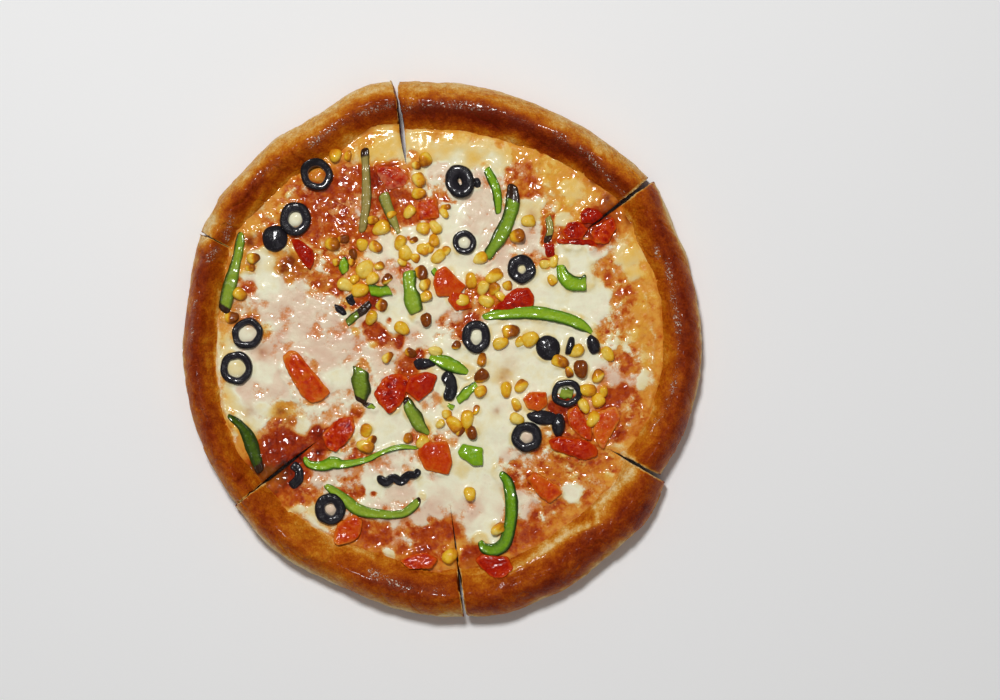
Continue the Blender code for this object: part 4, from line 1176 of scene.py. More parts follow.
# %% [markdown]
# ## Bent olive slices
# Some olive slices broke or curled up: an arc beside the tomato, a wavy piece and a half
# ring near the open cut. They are swept like the pepper, but in olive.

# %% Bent olives
BENT_OLIVES = (
    ("olive_arc_17", 6.4, 4.2, ((0, -13.8), (4, -16.2), (5, -21.2), (2.8, -27.6))),
    ("olive_wave_18", 4.4, 3.9, ((-34.2, -67.6), (-29.6, -70.6), (-25.6, -68.2), (-21.6, -70.2),
     (-17.6, -67), (-13.6, -66.4), (-12, -63.4))),
)
HALF_RING = ("olive_arc_19", 4.8, 3.9, ((-79.4, -61), (-75.8, -64), (-75.9, -69.2),
                                        (-80.4, -73.2)))


def bent_olive(name, width, height, path, seed):
    piece = sweep(name.replace("olive_", "black_olive_"), width, height, path, seed,
                  wave=0.5, round_ends=0.16)
    p = points_of(piece)
    paint(piece, "flesh_and_highlight", 0.2 + 0.25 * rough(p[:, 0], p[:, 1], 2.5, seed, 2))
    finish_piece(piece, OLIVE, 60)
    return piece


for number, row in enumerate(BENT_OLIVES):
    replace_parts(bent_olive(*row, SEEDS["bent_olive"] + number), row[0])
bent_olive(*HALF_RING, SEEDS["bent_olive"] + 4)
print("bent olives:", len(BENT_OLIVES) + 1)

# %% [markdown]
# ## Diced tomato
# Tomato is cut into cubes and wedges: wet red flesh with ridges, and a smoother skin. A
# cube primitive, cut finely, is rounded, stretched to the corners that the piece has, and
# wrinkled. Its colour runs from deep red to orange, as ripe and pale flesh do.

# %% Tomato material
# Node, height, corners, and looks: how orange it is, from 0 for deep red to 1, how
# wrinkled, and how much of it lies under a film of cheese.
TOMATOES = (
    ("tomato_1", 4.2, ((-79.8, 57.8), (-75.5, 58.3), (-68.6, 52.5), (-67.6, 47.2), (-69.7, 41.9),
     (-73.4, 45.6), (-78.2, 53)), (0.22, 0.5, 0)),
    ("tomato_2", 4.2, ((-84, -4.2), (-79.2, -1.1), (-75.5, -2.7), (-59.1, -22.8), (-61.7, -26),
     (-69.2, -28.6), (-73.4, -25.4), (-82.4, -10.1)), (0.62, 1.2, 0)),
    ("tomato_3", 3.4, ((-35.8, 97.5), (-23.1, 95.9), (-17.8, 90.6), (-19.9, 86.4), (-28.4, 84.3),
     (-32.6, 89.6)), (0.36, 1.3, 0.28)),
    ("tomato_5", 4.8, ((-4.5, 34.5), (-2.9, 40.8), (1.9, 43.5), (13, 33.4), (8.2, 28.6),
     (-1.9, 28.1)), (0.5, 0.6, 0)),
    ("tomato_7", 4.4, ((25.7, 21.2), (32.1, 26.5), (37.4, 31.8), (45.8, 32.3), (49, 27.6),
     (48.5, 22.8), (35.2, 20.7)), (0.26, 0.9, 0)),
    ("tomato_8", 4.4, ((73.4, 72.1), (77.1, 75.3), (82.4, 74.2), (85.1, 70.5), (80.3, 66.8),
     (74.5, 66.8)), (0.16, 1, 0)),
    ("tomato_10", 4.4, ((79.2, 62), (84, 65.7), (90.9, 70), (93, 63.6), (88.2, 56.2),
     (81.4, 56.7)), (0.42, 1.3, 0)),
    ("tomato_12", 4.8, ((-63.3, -45.1), (-54.9, -37.1), (-47.4, -36.6), (-45.8, -41.9),
     (-49, -48.2), (-55.4, -54.6), (-60.2, -53)), (0.4, 1.3, 0)),
    ("tomato_13", 4.8, ((-36.3, -24.4), (-31, -15.9), (-23.1, -12.7), (-17.2, -15.9),
     (-18.3, -23.3), (-21.5, -29.7), (-27.8, -34.5), (-33.7, -28.1)), (0.32, 1.6, 0)),
    ("tomato_14", 4.8, ((-19.3, -22.3), (-16.7, -14.8), (-7.7, -11.7), (-2.4, -14.3),
     (-4.5, -21.7), (-11.9, -28.1)), (0.3, 0.5, 0)),
    ("tomato_15", 4.8, ((-12.5, -54.6), (-9.3, -49.8), (2.9, -48.8), (5.6, -59.9), (3.4, -66.2),
     (-8.7, -64.1)), (0.54, 0.4, 0)),
    ("tomato_16", 4.2, ((-57, -101.2), (-54.9, -92.8), (-46.4, -88), (-42.1, -91.2),
     (-43.7, -99.1), (-47.4, -102.3), (-54.9, -103.9)), (0.62, 0.9, 0)),
    ("tomato_17", 4, ((-22, -112.4), (-16.7, -109.2), (-7.7, -107.6), (-2.4, -111.3),
     (-5.6, -116.1), (-16.7, -116.6)), (0.45, 1, 0)),
    ("tomato_18", 4.2, ((18.3, -111.8), (22, -109.2), (34.7, -110.2), (37.9, -116.1),
     (32.6, -120.8), (26.8, -120.8), (20.9, -116.1)), (0.28, 0.7, 0)),
    ("tomato_19", 4.8, ((45.3, -68.9), (50.1, -65.7), (62.3, -72.6), (63.9, -76.9), (57, -81.6),
     (50.6, -76.9)), (0.62, 1.1, 0)),
    ("tomato_21", 4.4, ((43.2, -26.5), (46.9, -22.8), (55.4, -22.8), (56.4, -29.7), (51.7, -33.4),
     (45.3, -31.8)), (0.66, 0.9, 0)),
    ("tomato_20", 4.6, ((56.4, -48.2), (61.2, -46.6), (76.6, -48.2), (81.9, -51.9), (82.4, -56.7),
     (75, -58.8), (65.5, -55.7), (58.6, -53)), (0.38, 0.9, 0)),
)
# Pieces that are one body with their bed in the plain solids.
SMALL_TOMATOES = (
    ("tomato_6", 4.4, ((3.4, 26), (5.6, 30.7), (13.5, 29.2), (16.2, 21.7), (7.7, 20.1)),
     (0.5, 0.7, 0)),
    ("tomato_9", 4, ((64.4, 62), (67, 66.8), (73.4, 67.8), (77.6, 63.6), (73.9, 58.3),
     (66.5, 58.3)), (0.24, 1.3, 0)),
    ("tomato_11", 3.6, ((53.8, 56.2), (59.6, 55.7), (60.2, 48.8), (55.9, 48.8)), (0.22, 1, 0)),
    ("tomato_4", 4, ((-13.5, 77.9), (-2.9, 79.5), (-1.9, 70), (-12.5, 68.4)), (0.5, 1.3, 0.18)),
    ("tomato_22", 3.9, ((67, -32.9), (71.8, -30.7), (79.2, -41.9), (79.2, -48.2), (73.4, -46.1),
     (67.6, -40.3)), (0.55, 1, 0.15)),
    ("tomato_23", 3.9, ((80.3, -43.5), (84, -33.4), (92.5, -30.7), (94.6, -37.1), (90.4, -45.1),
     (86.1, -53), (82.4, -49.8)), (0.72, 1, 0.2)),
    ("tomato_24", 3.2, ((60.7, 58.3), (70.8, 58.8), (85.6, 57.2), (84, 54.1), (71.3, 55.1),
     (62.8, 55.7)), (0.3, 1.3, 0.1)),
)


def tomato_material():
    material, tree, shader = wet_material("diced_tomato", 0.15, 0.24)
    tone = uneven(tree, 1.5, 0.14, painted(tree, "tone"))
    colour = ramp(tree, tone, ((0.0, (0.22, 0.003, 0.001)), (0.3, (0.44, 0.012, 0.001)),
                               (0.55, (0.60, 0.050, 0.002)), (0.8, (0.70, 0.13, 0.008)),
                               (1.0, (0.76, 0.26, 0.03))))
    film = calc(tree, "ADD", painted(tree, "film"), uneven(tree, 2.4, 0.30), clamp=True)
    film = put(tree, "MapRange", {0: film, 1: 0.25, 2: 0.75, 4: 0.8}).outputs[0]
    colour = mixed(tree, film, colour, (0.70, 0.30, 0.15))
    plug(tree, shader, colour, uneven(tree, 2.0, 0.06, 0.18), uneven(tree, 1.1, 0.9), 0.6)
    return material


TOMATO = tomato_material()
print("material:", TOMATO.name, "pieces:", len(TOMATOES) + len(SMALL_TOMATOES))


# %% Shape the tomato pieces
def start_cube(name, cuts):
    deselect()
    bpy.ops.mesh.primitive_cube_add(size=2.0)
    piece = named(name)
    edit(piece)
    bpy.ops.mesh.subdivide(number_cuts=cuts)
    bpy.ops.object.mode_set(mode="OBJECT")
    return piece, points_of(piece) * MM


def rounded(p, power):
    """A cube's points drawn in towards a ball; a high power keeps the corners."""
    length = (np.abs(p) ** power).sum(1) ** (1 / power)
    return p / length[:, None]


def outline_reach(angle, corners, sharp=16):
    """From the middle to an outline with straight sides and soft corners, in each direction."""
    middle, total = corners.mean(0), np.zeros_like(angle)
    for first, last in zip(corners, np.roll(corners, -1, 0)):
        run = last - first
        outward = np.array((run[1], -run[0])) / np.hypot(*run)
        depth = (first - middle) @ outward
        outward, depth = outward * np.sign(depth), abs(depth)
        facing = np.cos(angle) * outward[0] + np.sin(angle) * outward[1]
        total += np.maximum(facing / depth, 0) ** sharp
    return total ** (-1 / sharp)


def dice(name, height, corners, seed, wrinkle, power=5.5, cuts=28):
    """A rounded block whose outline follows its corners; a low power makes it rounder."""
    piece, p = start_cube(name, cuts)
    p = rounded(p, power)
    level = (np.abs(p[:, 0]) ** power + np.abs(p[:, 1]) ** power) ** (1 / power)
    corners = np.array(corners)
    middle = corners.mean(0)
    angle = np.arctan2(p[:, 1], p[:, 0])
    far = level * 1.05 * outline_reach(angle, corners, 16 if power >= 4 else 7)
    x, y = middle[0] + far * np.cos(angle), middle[1] + far * np.sin(angle)
    size = np.sqrt(np.ptp(corners, 0).prod())
    lean_x, lean_y = math.sin(seed), math.cos(1.7 * seed)
    lean = 0.22 * (lean_x * (x - middle[0]) + lean_y * (y - middle[1])) / size
    crown = 1 - 0.18 * level**2 + lean
    z = surface_height(x, y) - SINK + (p[:, 2] * 0.5 + 0.5) * height * crown
    move_points(piece, x, y, z)
    weld(piece)
    # rim: 1 along the top edges; tomatoes use it for a painted highlight.
    paint(piece, "rim", ease((level - 0.72) / 0.24) * ease(p[:, 2] * 2))
    push(piece, ((9.0, 0.6), (3.0, 0.28 * wrinkle), (1.2, 0.07 * wrinkle)), seed)
    return piece


def tomato(name, height, corners, looks, seed):
    tone, wrinkle, film = looks
    power = 4.0 if name == "tomato_20" else 5.5
    piece = dice(name.replace("tomato_", "diced_tomato_"), height, corners, seed, wrinkle, power)
    p, n = points_of(piece), normals_of(piece)
    u, v = p[:, 0] + p[:, 2], p[:, 1] - p[:, 2]
    veins = 1 - 2 * np.abs(rough(u, v, 3.4, seed + 5, 2))
    folds = ease(1 - np.abs(rough(u, v, 2.6, seed + 6, 2)) / 0.35)
    move_points(piece, *(p - n * (0.26 * wrinkle * folds)[:, None]).T)
    spread = rough(p[:, 0], p[:, 1], 7, seed + 3, 2)
    rim = read_paint(piece, "rim")
    # The top edges are painted lighter and more orange: a painted highlight along them.
    paint(piece, "tone", tone + 0.16 * spread + 0.20 * wrinkle * (veins - 0.5) + 0.22 * rim)
    paint(piece, "film", film * (1.2 + 0.8 * rough(p[:, 0], p[:, 1], 5, seed + 9, 2)))
    finish_piece(piece, TOMATO, 70)
    return piece


for number, row in enumerate(TOMATOES):
    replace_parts(tomato(*row, SEEDS["tomato"] + number), row[0])
for number, row in enumerate(SMALL_TOMATOES):
    tomato(*row, SEEDS["small_tomato"] + number)
print("tomato pieces:", len(TOMATOES) + len(SMALL_TOMATOES))

# %% [markdown]
# ## Small pieces of pepper and olive
# A few short bits of pepper lie half in the cheese, one of them inside an olive ring, and
# crumbs of olive lie beside them. In the plain solids they are part of the bed, and here
# each is a piece of its own.

# %% Small bits
SMALL_PEPPERS = (
    ("pepper_strip_3", 5.4, 3.2, ((-31.2, 82.7, 1), (-28.4, 74.7, 1), (-25.4, 67.6, 0.9),
     (-22.3, 60.7, 0.5)), (0.75, 0, 0, 0)),
    ("pepper_barrel_8", 6, 4.2, ((-38.4, 31.3, 0.9), (-32.6, 30.7, 1.05), (-26.8, 31.3, 0.9)),
     (0, 0, 0, 0)),
    ("pepper_strip_9", 5, 3.2, ((-37.4, 24.9, 0.7), (-42.7, 20.1, 1), (-46.9, 16.7, 1),
     (-50.6, 13.5, 0.8)), (0.3, 0.45, 0, 0.35)),
    ("pepper_strip_13", 5.4, 3.2, ((18.8, -18.6, 0.7), (13.8, -22.6, 1.1), (8.2, -27.6, 0.7)),
     (0, 0, 0, 0)),
    ("pepper_bit_20", 5, 3.6, ((-52.7, 48.2, 0.8), (-51.7, 44.5, 1.1), (-50.9, 40.5, 0.7)),
     (0, 0, 0, 0)),
    ("pepper_bit_21", 4, 2.8, ((-4.8, 42.4, 0.8), (-2.7, 39.5, 0.8)), (0, 0, 0, 0)),
    ("pepper_bit_22", 3, 2.4, ((-41.6, -28.4, 0.6), (-38.4, -29.9, 1), (-35.2, -31.3, 0.6)),
     (0.2, 0.5, 0, 0)),
    ("pepper_bit_23", 5.6, 3.4, ((63, -22.8, 0.9), (66.3, -23.4, 1.1), (69.6, -24, 0.9)),
     (0.35, 0, 0, 0)),
    ("pepper_bit_24", 4.6, 3, ((56.4, 70.5, 0.7), (57.5, 63.1, 1), (55.9, 56.2, 0.7)),
     (0.8, 0, 0.3, 0)),
    ("pepper_bit_25", 3.4, 2.6, ((2.9, -29.2, 0.7), (6.6, -31.3, 1)), (0, 0, 0, 0)),
)
# Node, height, corners of one thick block, and then of the olive bits.
PEPPER_BLOCK = ("pepper_block_17", 4.4, (
    (8.5, -54.6), (11.4, -50.4), (21.5, -52.5), (22, -62), (16.2, -61.5), (9.8, -57.2)))
OLIVE_BITS = (
    ("black_olive_cap_11", 4.4, ((79.6, -2.6), (84, -1.2), (83.6, 4.2), (79.4, 8), (76.8, 5.4),
     (77.4, 0.6))),
    ("black_olive_cap_16", 3.9, ((-15.2, -6.6), (-11, -4.8), (-5.4, -5.4), (-2.8, -8.8),
     (-6.8, -10.4), (-12.8, -11.6))),
    ("black_olive_half_20", 4.4, ((65.2, -2.6), (68.6, -3), (70.4, 1.6), (70.2, 6), (67.8, 6.2),
     (66, 2.2))),
    ("black_olive_bit_21", 3, ((-52.8, 25.6), (-49.8, 24), (-48.2, 20.6), (-45.2, 23.6),
     (-46.4, 30.6), (-50.2, 28.2))),
    ("black_olive_bit_22", 2.6, ((-55.8, 20.2), (-52.6, 17.8), (-50.4, 18.6), (-52.2, 22.4),
     (-56.8, 23.8))),
    ("black_olive_half_23", 4, ((44.8, -34.4), (54, -32.4), (61.2, -34.8), (60.6, -39.6),
     (53, -40.2), (46.6, -37.6))),
    ("black_olive_bit_24", 2.6, ((17.2, 90.6), (19.6, 91), (21, 88.6), (20.6, 85.8), (18.4, 85),
     (17, 87.4))),
)


def olive_bit(name, height, corners, seed):
    piece = dice(name, height, corners, seed, 0.8, 2.8, 14)
    p = points_of(piece)
    paint(piece, "flesh_and_highlight", 0.25 + 0.25 * rough(p[:, 0], p[:, 1], 2.5, seed, 2))
    finish_piece(piece, OLIVE, 60)
    return piece


for number, row in enumerate(SMALL_PEPPERS):
    pepper_strip(*row, SEEDS["small_pepper"] + number)
node, height, corners = PEPPER_BLOCK
block = dice(node.replace("pepper_", "green_pepper_"), height, corners, SEEDS["pepper_block"], 0.8)
z = points_of(block)[:, 2]
paint(block, "edge", 0.25 + 0.5 * ease(1 - (z - z.min()) / 3.4))
finish_piece(block, PEPPER, 60)
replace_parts(block, node)
for number, row in enumerate(OLIVE_BITS):
    olive_bit(*row, SEEDS["olive_bit"] + number)
print("small bits:", len(SMALL_PEPPERS) + len(OLIVE_BITS))

# %% [markdown]
# ## Sweetcorn
# A kernel is a rounded wedge, broad and dimpled at its crown and narrow where it sat on the
# cob. There are dozens, so one kernel is modelled with few faces and copied to its places,
# each turned and tilted its own way. Some caught the heat and browned.

# %% Corn material
# Each kernel: x, y, how broad it is in millimetres, and how much of it is browned.
YELLOW_CORN = (
    (-32.1, 64.1, 8.5, 0.15), (-36.3, 68.4, 5.3, 0.4), (-42.1, 55.1, 6.4, 0.3),
    (-40.5, 42.4, 9.5, 0), (-36.8, 37.1, 6.9, 0.1), (-50.6, 33.9, 8, 0.05),
    (-43.2, 31.3, 8.5, 0.1), (-37.4, 16.4, 6.9, 0.2), (-22, 56.2, 6.9, 0.1),
    (-19.3, 50.9, 8, 0.25), (-17.2, 72.6, 6.4, 0.1), (-9.8, 64.1, 6.9, 0.15),
    (-3.4, 64.7, 6.6, 0.15), (-4, 57.8, 6.6, 0.3), (-9.8, 53, 6.6, 0.2), (-1.9, 48.8, 7.4, 0.05),
    (2.1, 75.3, 4.5, 0.4), (-8.7, 27.6, 6.6, 0.15), (-20.9, 11.1, 7.4, 0.1),
    (15.6, 36.6, 7.4, 0.3), (10.9, 26, 7.4, 0.1), (20.4, 48.2, 7.2, 0.3), (-3.4, -1.1, 6.4, 0.1),
    (27.8, 38.7, 8.5, 0.25), (22, 32.3, 6.9, 0.1), (27.8, 31.8, 6.4, 0.4), (35.2, 33.4, 5.3, 0.3),
    (23.6, 25.4, 7.4, 0.1), (45.8, 67.8, 7.4, 0.1), (55.4, 45.1, 5.8, 0.1),
    (59.6, 46.6, 5.8, 0.15), (58.6, 36.6, 5.8, 0.3), (31.5, 3.2, 7.4, 0.1), (46.9, 5.3, 8.5, 0.05),
    (71.3, -1.1, 7.4, 0.1), (88.2, -2.7, 7.4, 0.2), (20.9, -22.3, 6.6, 0.25),
    (34.2, -21.7, 6.9, 0.35), (42.1, -19.6, 6.9, 0.4), (39.5, -29.2, 5.6, 0.3),
    (40, -37.1, 6.6, 0.1), (77.1, -21.7, 8, 0.2), (82.9, -27, 7.4, 0.15), (75.5, -30.2, 6.9, 0.1),
    (80.3, -37.1, 7.7, 0.1), (13.5, -37.6, 8.5, 0.2), (6.6, -39.8, 8.5, 0.25),
    (-0.8, -39.8, 4.8, 0.1), (-56.4, 102.8, 6.9, 0.35), (-49.6, 102.8, 4.8, 0.3),
    (-11.9, 89.6, 7.4, 0.4), (-11.9, 82.7, 6.9, 0.3), (-106.8, 29.2, 6.9, 0.3),
    (-40, -43.5, 6.9, 0.35), (-10.3, -49.3, 6.9, 0.1), (15.1, -76.9, 6.9, 0.15),
    (4.5, -109.7, 8, 0.15), (1.3, 72.1, 5.3, 0.2), (-26.2, 71.5, 4.8, 0.3),
    (-20.9, 46.1, 4.8, 0.2), (-6.1, 54.1, 5.8, 0.2), (-14, 48.2, 4.8, 0.3), (2.4, 51.9, 4.8, 0.35),
    (31, 28.1, 5.3, 0.3), (41.6, 3.7, 5.8, 0.2), (52.7, 1.6, 4.8, 0.1), (86.1, -22.3, 5.3, 0.2),
    (2.9, -34.5, 4.8, 0.3), (18.3, -32.3, 4.2, 0.4), (-33.1, 44, 4.8, 0.4),
    (-45.8, 37.1, 4.8, 0.15),
)
BROWNED_CORN = (
    (-58, 55.7, 7.4, 0.5), (-52.2, 58.3, 5.3, 0.9), (-46.9, 50.4, 4.8, 0.9),
    (-34.7, 54.1, 6.6, 0.5), (-28.9, 37.1, 5.8, 0.9), (-31.5, 23.3, 6.4, 0.65),
    (-14.8, 57.8, 3.7, 0.95), (-10.6, 40.3, 7.4, 0.7), (-8.7, 34.5, 6.6, 0.45),
    (-8.2, 15.4, 6.9, 0.8), (7.7, 2.1, 4.8, 0.98), (-28.4, -4.2, 5.8, 0.6),
    (-16.2, -2.1, 5.8, 0.9), (40, 59.9, 8, 0.45), (36.8, 9.5, 8, 0.55), (21.5, -5.3, 6.1, 0.5),
    (20.9, -14.3, 7.4, 0.8), (62.8, -6.4, 8, 0.45), (73.9, -10.6, 8.5, 0.8),
    (82.9, -14.3, 6.9, 0.5), (15.9, -44.5, 6.9, 0.85), (10.3, -43.5, 4.8, 0.95),
    (-8.7, 100.7, 7.4, 0.45), (-99.6, 48.2, 6.4, 0.6), (-111, 17, 6.9, 0.8),
    (-101.5, 42.9, 4.8, 0.5), (-40.5, -51.4, 8, 0.45), (-36.8, -48.2, 4.8, 0.8),
    (-17.8, -47.2, 5.3, 0.6), (-13.5, 97.5, 4.8, 0.6), (29.9, -95.4, 6.9, 0.45),
    (-47.4, 46.1, 4.2, 0.5), (-54.9, 46.1, 4.8, 0.6), (67.6, -12.2, 4.8, 0.6),
    (-16.7, 26, 3.7, 0.5),
)


def corn_material():
    material, tree, shader = wet_material("sweetcorn", 0.4, 0.4)
    tone = uneven(tree, 2.2, 0.20, painted(tree, "tone"))
    colour = ramp(tree, tone, ((0.0, (0.20, 0.042, 0.003)), (0.2, (0.42, 0.110, 0.005)),
                               (0.42, (0.72, 0.27, 0.008)), (0.65, (0.86, 0.50, 0.020)),
                               (1.0, (0.93, 0.76, 0.20))))
    plug(tree, shader, colour, uneven(tree, 2.0, 0.07, 0.24), uneven(tree, 1.2, 0.8), 0.5)
    return material


CORN = corn_material()
print("kernels:", len(YELLOW_CORN), "yellow and", len(BROWNED_CORN), "browned")


# %% Model one kernel and copy it
def kernel_mesh():
    """A kernel about 8 mm long, its broad end dimpled, its narrow end at -X."""
    deselect()
    bpy.ops.mesh.primitive_uv_sphere_add(segments=16, ring_count=10, radius=1.0)
    piece = bpy.context.object
    x, y, z = rounded(points_of(piece) * MM, 2.5).T
    broad = 0.84 + 0.16 * x
    dimple = 0.16 * np.exp(-(((x - 0.45) / 0.4) ** 2 + (y / 0.45) ** 2)) * (z > 0)
    fold = 0.05 * np.exp(-(y / 0.18) ** 2) * (x > -0.2) * (z > 0)
    move_points(piece, 4.5 * x, 4.1 * y * broad, 3.3 * (z * (0.85 + 0.15 * x) - dimple - fold))
    return piece


def corn_heap(name, places, seed):
    model = kernel_mesh()
    picks = np.random.default_rng(seed)
    copies = []
    for x, y, broad, browned in places:
        copy = model.copy()
        copy.data = model.data.copy()
        bpy.context.scene.collection.objects.link(copy)
        turn, tilt, roll = picks.uniform(0, 6.28), picks.uniform(-0.5, 0.5), picks.uniform(-.4, .4)
        p = points_of(copy) * broad / 7.7
        stretch = picks.uniform(0.92, 1.12)
        p = p * (stretch, 1 / stretch, picks.uniform(0.85, 1.05))
        burnt = math.cos(turn) * p[:, 0] + math.sin(2 * turn) * p[:, 1] + 0.4 * p[:, 2]
        c, s = math.cos(tilt), math.sin(tilt)
        q = np.stack([p[:, 0] * c + p[:, 2] * s, p[:, 1], p[:, 2] * c - p[:, 0] * s], 1)
        c, s = math.cos(roll), math.sin(roll)
        q = np.stack([q[:, 0], q[:, 1] * c - q[:, 2] * s, q[:, 2] * c + q[:, 1] * s], 1)
        dx, dy = turned(q[:, 0], q[:, 1], math.degrees(turn))
        base = float(surface_height(np.array([x]), np.array([y]))[0])
        move_points(copy, x + dx, y + dy, base + picks.uniform(0.9, 1.9) + q[:, 2])
        away = np.hypot(q[:, 0], q[:, 1]) / broad * 2
        # Each kernel is lighter in its middle, a painted highlight on its crown, and darker
        # towards its edge.
        tone = picks.uniform(0.70, 0.95) - 0.16 * ease((away - 0.6) / 0.5)
        tone = tone - 1.1 * browned * ease(burnt / broad * 2.2 + browned)
        paint(copy, "tone", tone)
        copies.append(copy)
    bpy.data.objects.remove(model, do_unlink=True)
    deselect()
    for copy in copies:
        copy.select_set(True)
    bpy.context.view_layer.objects.active = copies[0]
    bpy.ops.object.join()
    heap = named(name)
    push(heap, ((3.2, 0.45), (1.4, 0.10)), seed)
    finish_piece(heap, CORN, 70)
    return heap


yellow = corn_heap("corn_yellow", YELLOW_CORN, SEEDS["yellow_corn"])
browned = corn_heap("corn_browned", BROWNED_CORN, SEEDS["browned_corn"])
print("corn faces:", len(yellow.data.polygons) + len(browned.data.polygons))

# %% [markdown]
# ## The cheese's finish
# Wet, oily and smooth where it is thick, and grainy where sauce shows. Five painted values
# choose between four ramps: sauce, thin cheese, thick cheese and browned spots. A little
# extra mottling from the shader breaks up what the points are too far apart to hold.


# %% Cheese material
def cheese_material():
    material, tree, shader = wet_material("melted_cheese", 0.2, 0.0)
    mottle = painted(tree, "mottle")
    fine = calc(tree, "MULTIPLY", mottle, uneven(tree, 1.0, 0.34))
    thick = calc(tree, "ADD", painted(tree, "thick"), uneven(tree, 1.6, 0.05, fine))
    tone = uneven(tree, 1.3, 0.16, painted(tree, "tone"))
    tint = uneven(tree, 2.6, 0.07, painted(tree, "tint"))
    sauce = ramp(tree, tone, (
        (0.0, (0.07, 0.005, 0.0008)), (0.25, (0.31, 0.020, 0.001)), (0.5, (0.50, 0.072, 0.003)),
        (0.75, (0.68, 0.21, 0.018)), (1.0, (0.80, 0.36, 0.05))))
    thin = ramp(tree, tint, ((0.0, (0.70, 0.25, 0.11)), (0.5, (0.72, 0.29, 0.07)),
                             (1.0, (0.80, 0.38, 0.04))))
    cheese = ramp(tree, tint, (
        (0.0, (0.76, 0.49, 0.35)), (0.3, (0.86, 0.70, 0.51)), (0.5, (0.93, 0.90, 0.66)),
        (0.7, (0.86, 0.72, 0.37)), (1.0, (0.87, 0.55, 0.12))))
    veil = put(tree, "MapRange", {0: thick, 1: 0.16, 2: 0.46}, interpolation_type="SMOOTHSTEP")
    cover = put(tree, "MapRange", {0: thick, 1: 0.42, 2: 0.74}, interpolation_type="SMOOTHSTEP")
    colour = mixed(tree, veil.outputs[0], sauce, thin)
    colour = mixed(tree, cover.outputs[0], colour, cheese)
    toast = calc(tree, "ADD", painted(tree, "toast"), 0.0, clamp=True)
    brown = ramp(tree, toast, ((0.0, (0.58, 0.22, 0.025)), (0.5, (0.46, 0.13, 0.010)),
                               (1.0, (0.24, 0.038, 0.003))))
    colour = mixed(tree, toast, colour, brown)
    specks = calc(tree, "MULTIPLY", grouped(tree, FLECKS, 2.3, 0.16), 0.45)
    pink = calc(tree, "SUBTRACT", 0.62, tint, clamp=True)
    colour = mixed(tree, calc(tree, "MULTIPLY", specks, pink), colour, (0.36, 0.13, 0.10))
    coat = put(tree, "MapRange", {0: thick, 1: 0.3, 2: 0.9, 3: 0.60, 4: 0.22})
    tree.links.new(coat.outputs[0], shader.inputs["Coat Weight"])
    grain = calc(tree, "MULTIPLY_ADD", mottle, 0.9, 0.25)
    plug(tree, shader, colour, uneven(tree, 3.0, 0.06, 0.22),
         calc(tree, "MULTIPLY", uneven(tree, 1.4, 0.9), grain), 0.5)
    return material


CHEESE = cheese_material()
print("material:", CHEESE.name)

# %% [markdown]
# ## Six beds of sauce and cheese
# Each slice carries its own bed. Its top is a grid bent into a wedge and lifted where the
# cheese is thick. Where the cuts closed again the neighbours meet exactly, and where a gap
# stays open the cheese rolls over its edge. The border is then extruded down and filled,
# so that the bed is a closed piece.

# %% Shape the beds
BED_COLUMNS, BED_ROWS, BED_BOTTOM = 190, 180, 13.05
# The dough under the bed: millimetres past the rim's inner edge, height.
SLOPE = ((-8.0, 13.0), (-6.0, 13.0), (-1.5, 14.6), (1.8, 18.2), (6.7, 22.4))


def bed_relief(x, y, thick):
    """Small lumps of the real cheese, its grain over sauce, and what fills the olive rings."""
    lump = 0.45 * rough(x, y, 7, 73, 2)
    grain = (1 - 0.85 * thick) * 0.55 * rough(x, y, 2.6, 79, 3)
    holes = np.zeros(x.shape)
    for px, py, radius, _ in HOLES:
        holes += 1.5 * ease(1.35 - np.hypot(x - px, y - py) / radius)
    return lump + grain + holes


def topping_spots():
    """Middles and radii of round places that stand for all that lies on the cheese."""
    spots = [(x, y, 0.42 * broad) for x, y, broad, _ in YELLOW_CORN + BROWNED_CORN]
    spots += [(row[1], row[2], min(row[3], row[4]) / 2) for row in OLIVES]
    for row in PEPPERS + SMALL_PEPPERS + BENT_OLIVES + (HALF_RING,):
        share = np.linspace(0, 1, 3 * len(row[3]) + 2)
        xs = smooth_values([place[0] for place in row[3]], share)
        ys = smooth_values([place[1] for place in row[3]], share)
        spots += [(x, y, row[1] / 2 - 0.3) for x, y in zip(xs, ys)]
    for row in TOMATOES + SMALL_TOMATOES + OLIVE_BITS:
        corners = np.array(row[2])
        middle, size = corners.mean(0), np.sqrt(np.ptp(corners, 0).prod())
        spots += [(*(middle + 0.5 * (corner - middle)), size * 0.26) for corner in corners]
    return spots


SPOTS = topping_spots()


def climb(x, y):
    """How far the cheese climbs against the toppings."""
    lift = np.zeros(x.shape)
    for px, py, radius in SPOTS:
        near = (np.abs(x - px) < radius + 3) & (np.abs(y - py) < radius + 3)
        apart = np.hypot(x[near] - px, y[near] - py) - radius
        lift[near] = np.maximum(lift[near], np.exp(-(apart / 1.5) ** 2))
    return lift * (0.9 + 0.5 * rough(x, y, 5, 87, 2))


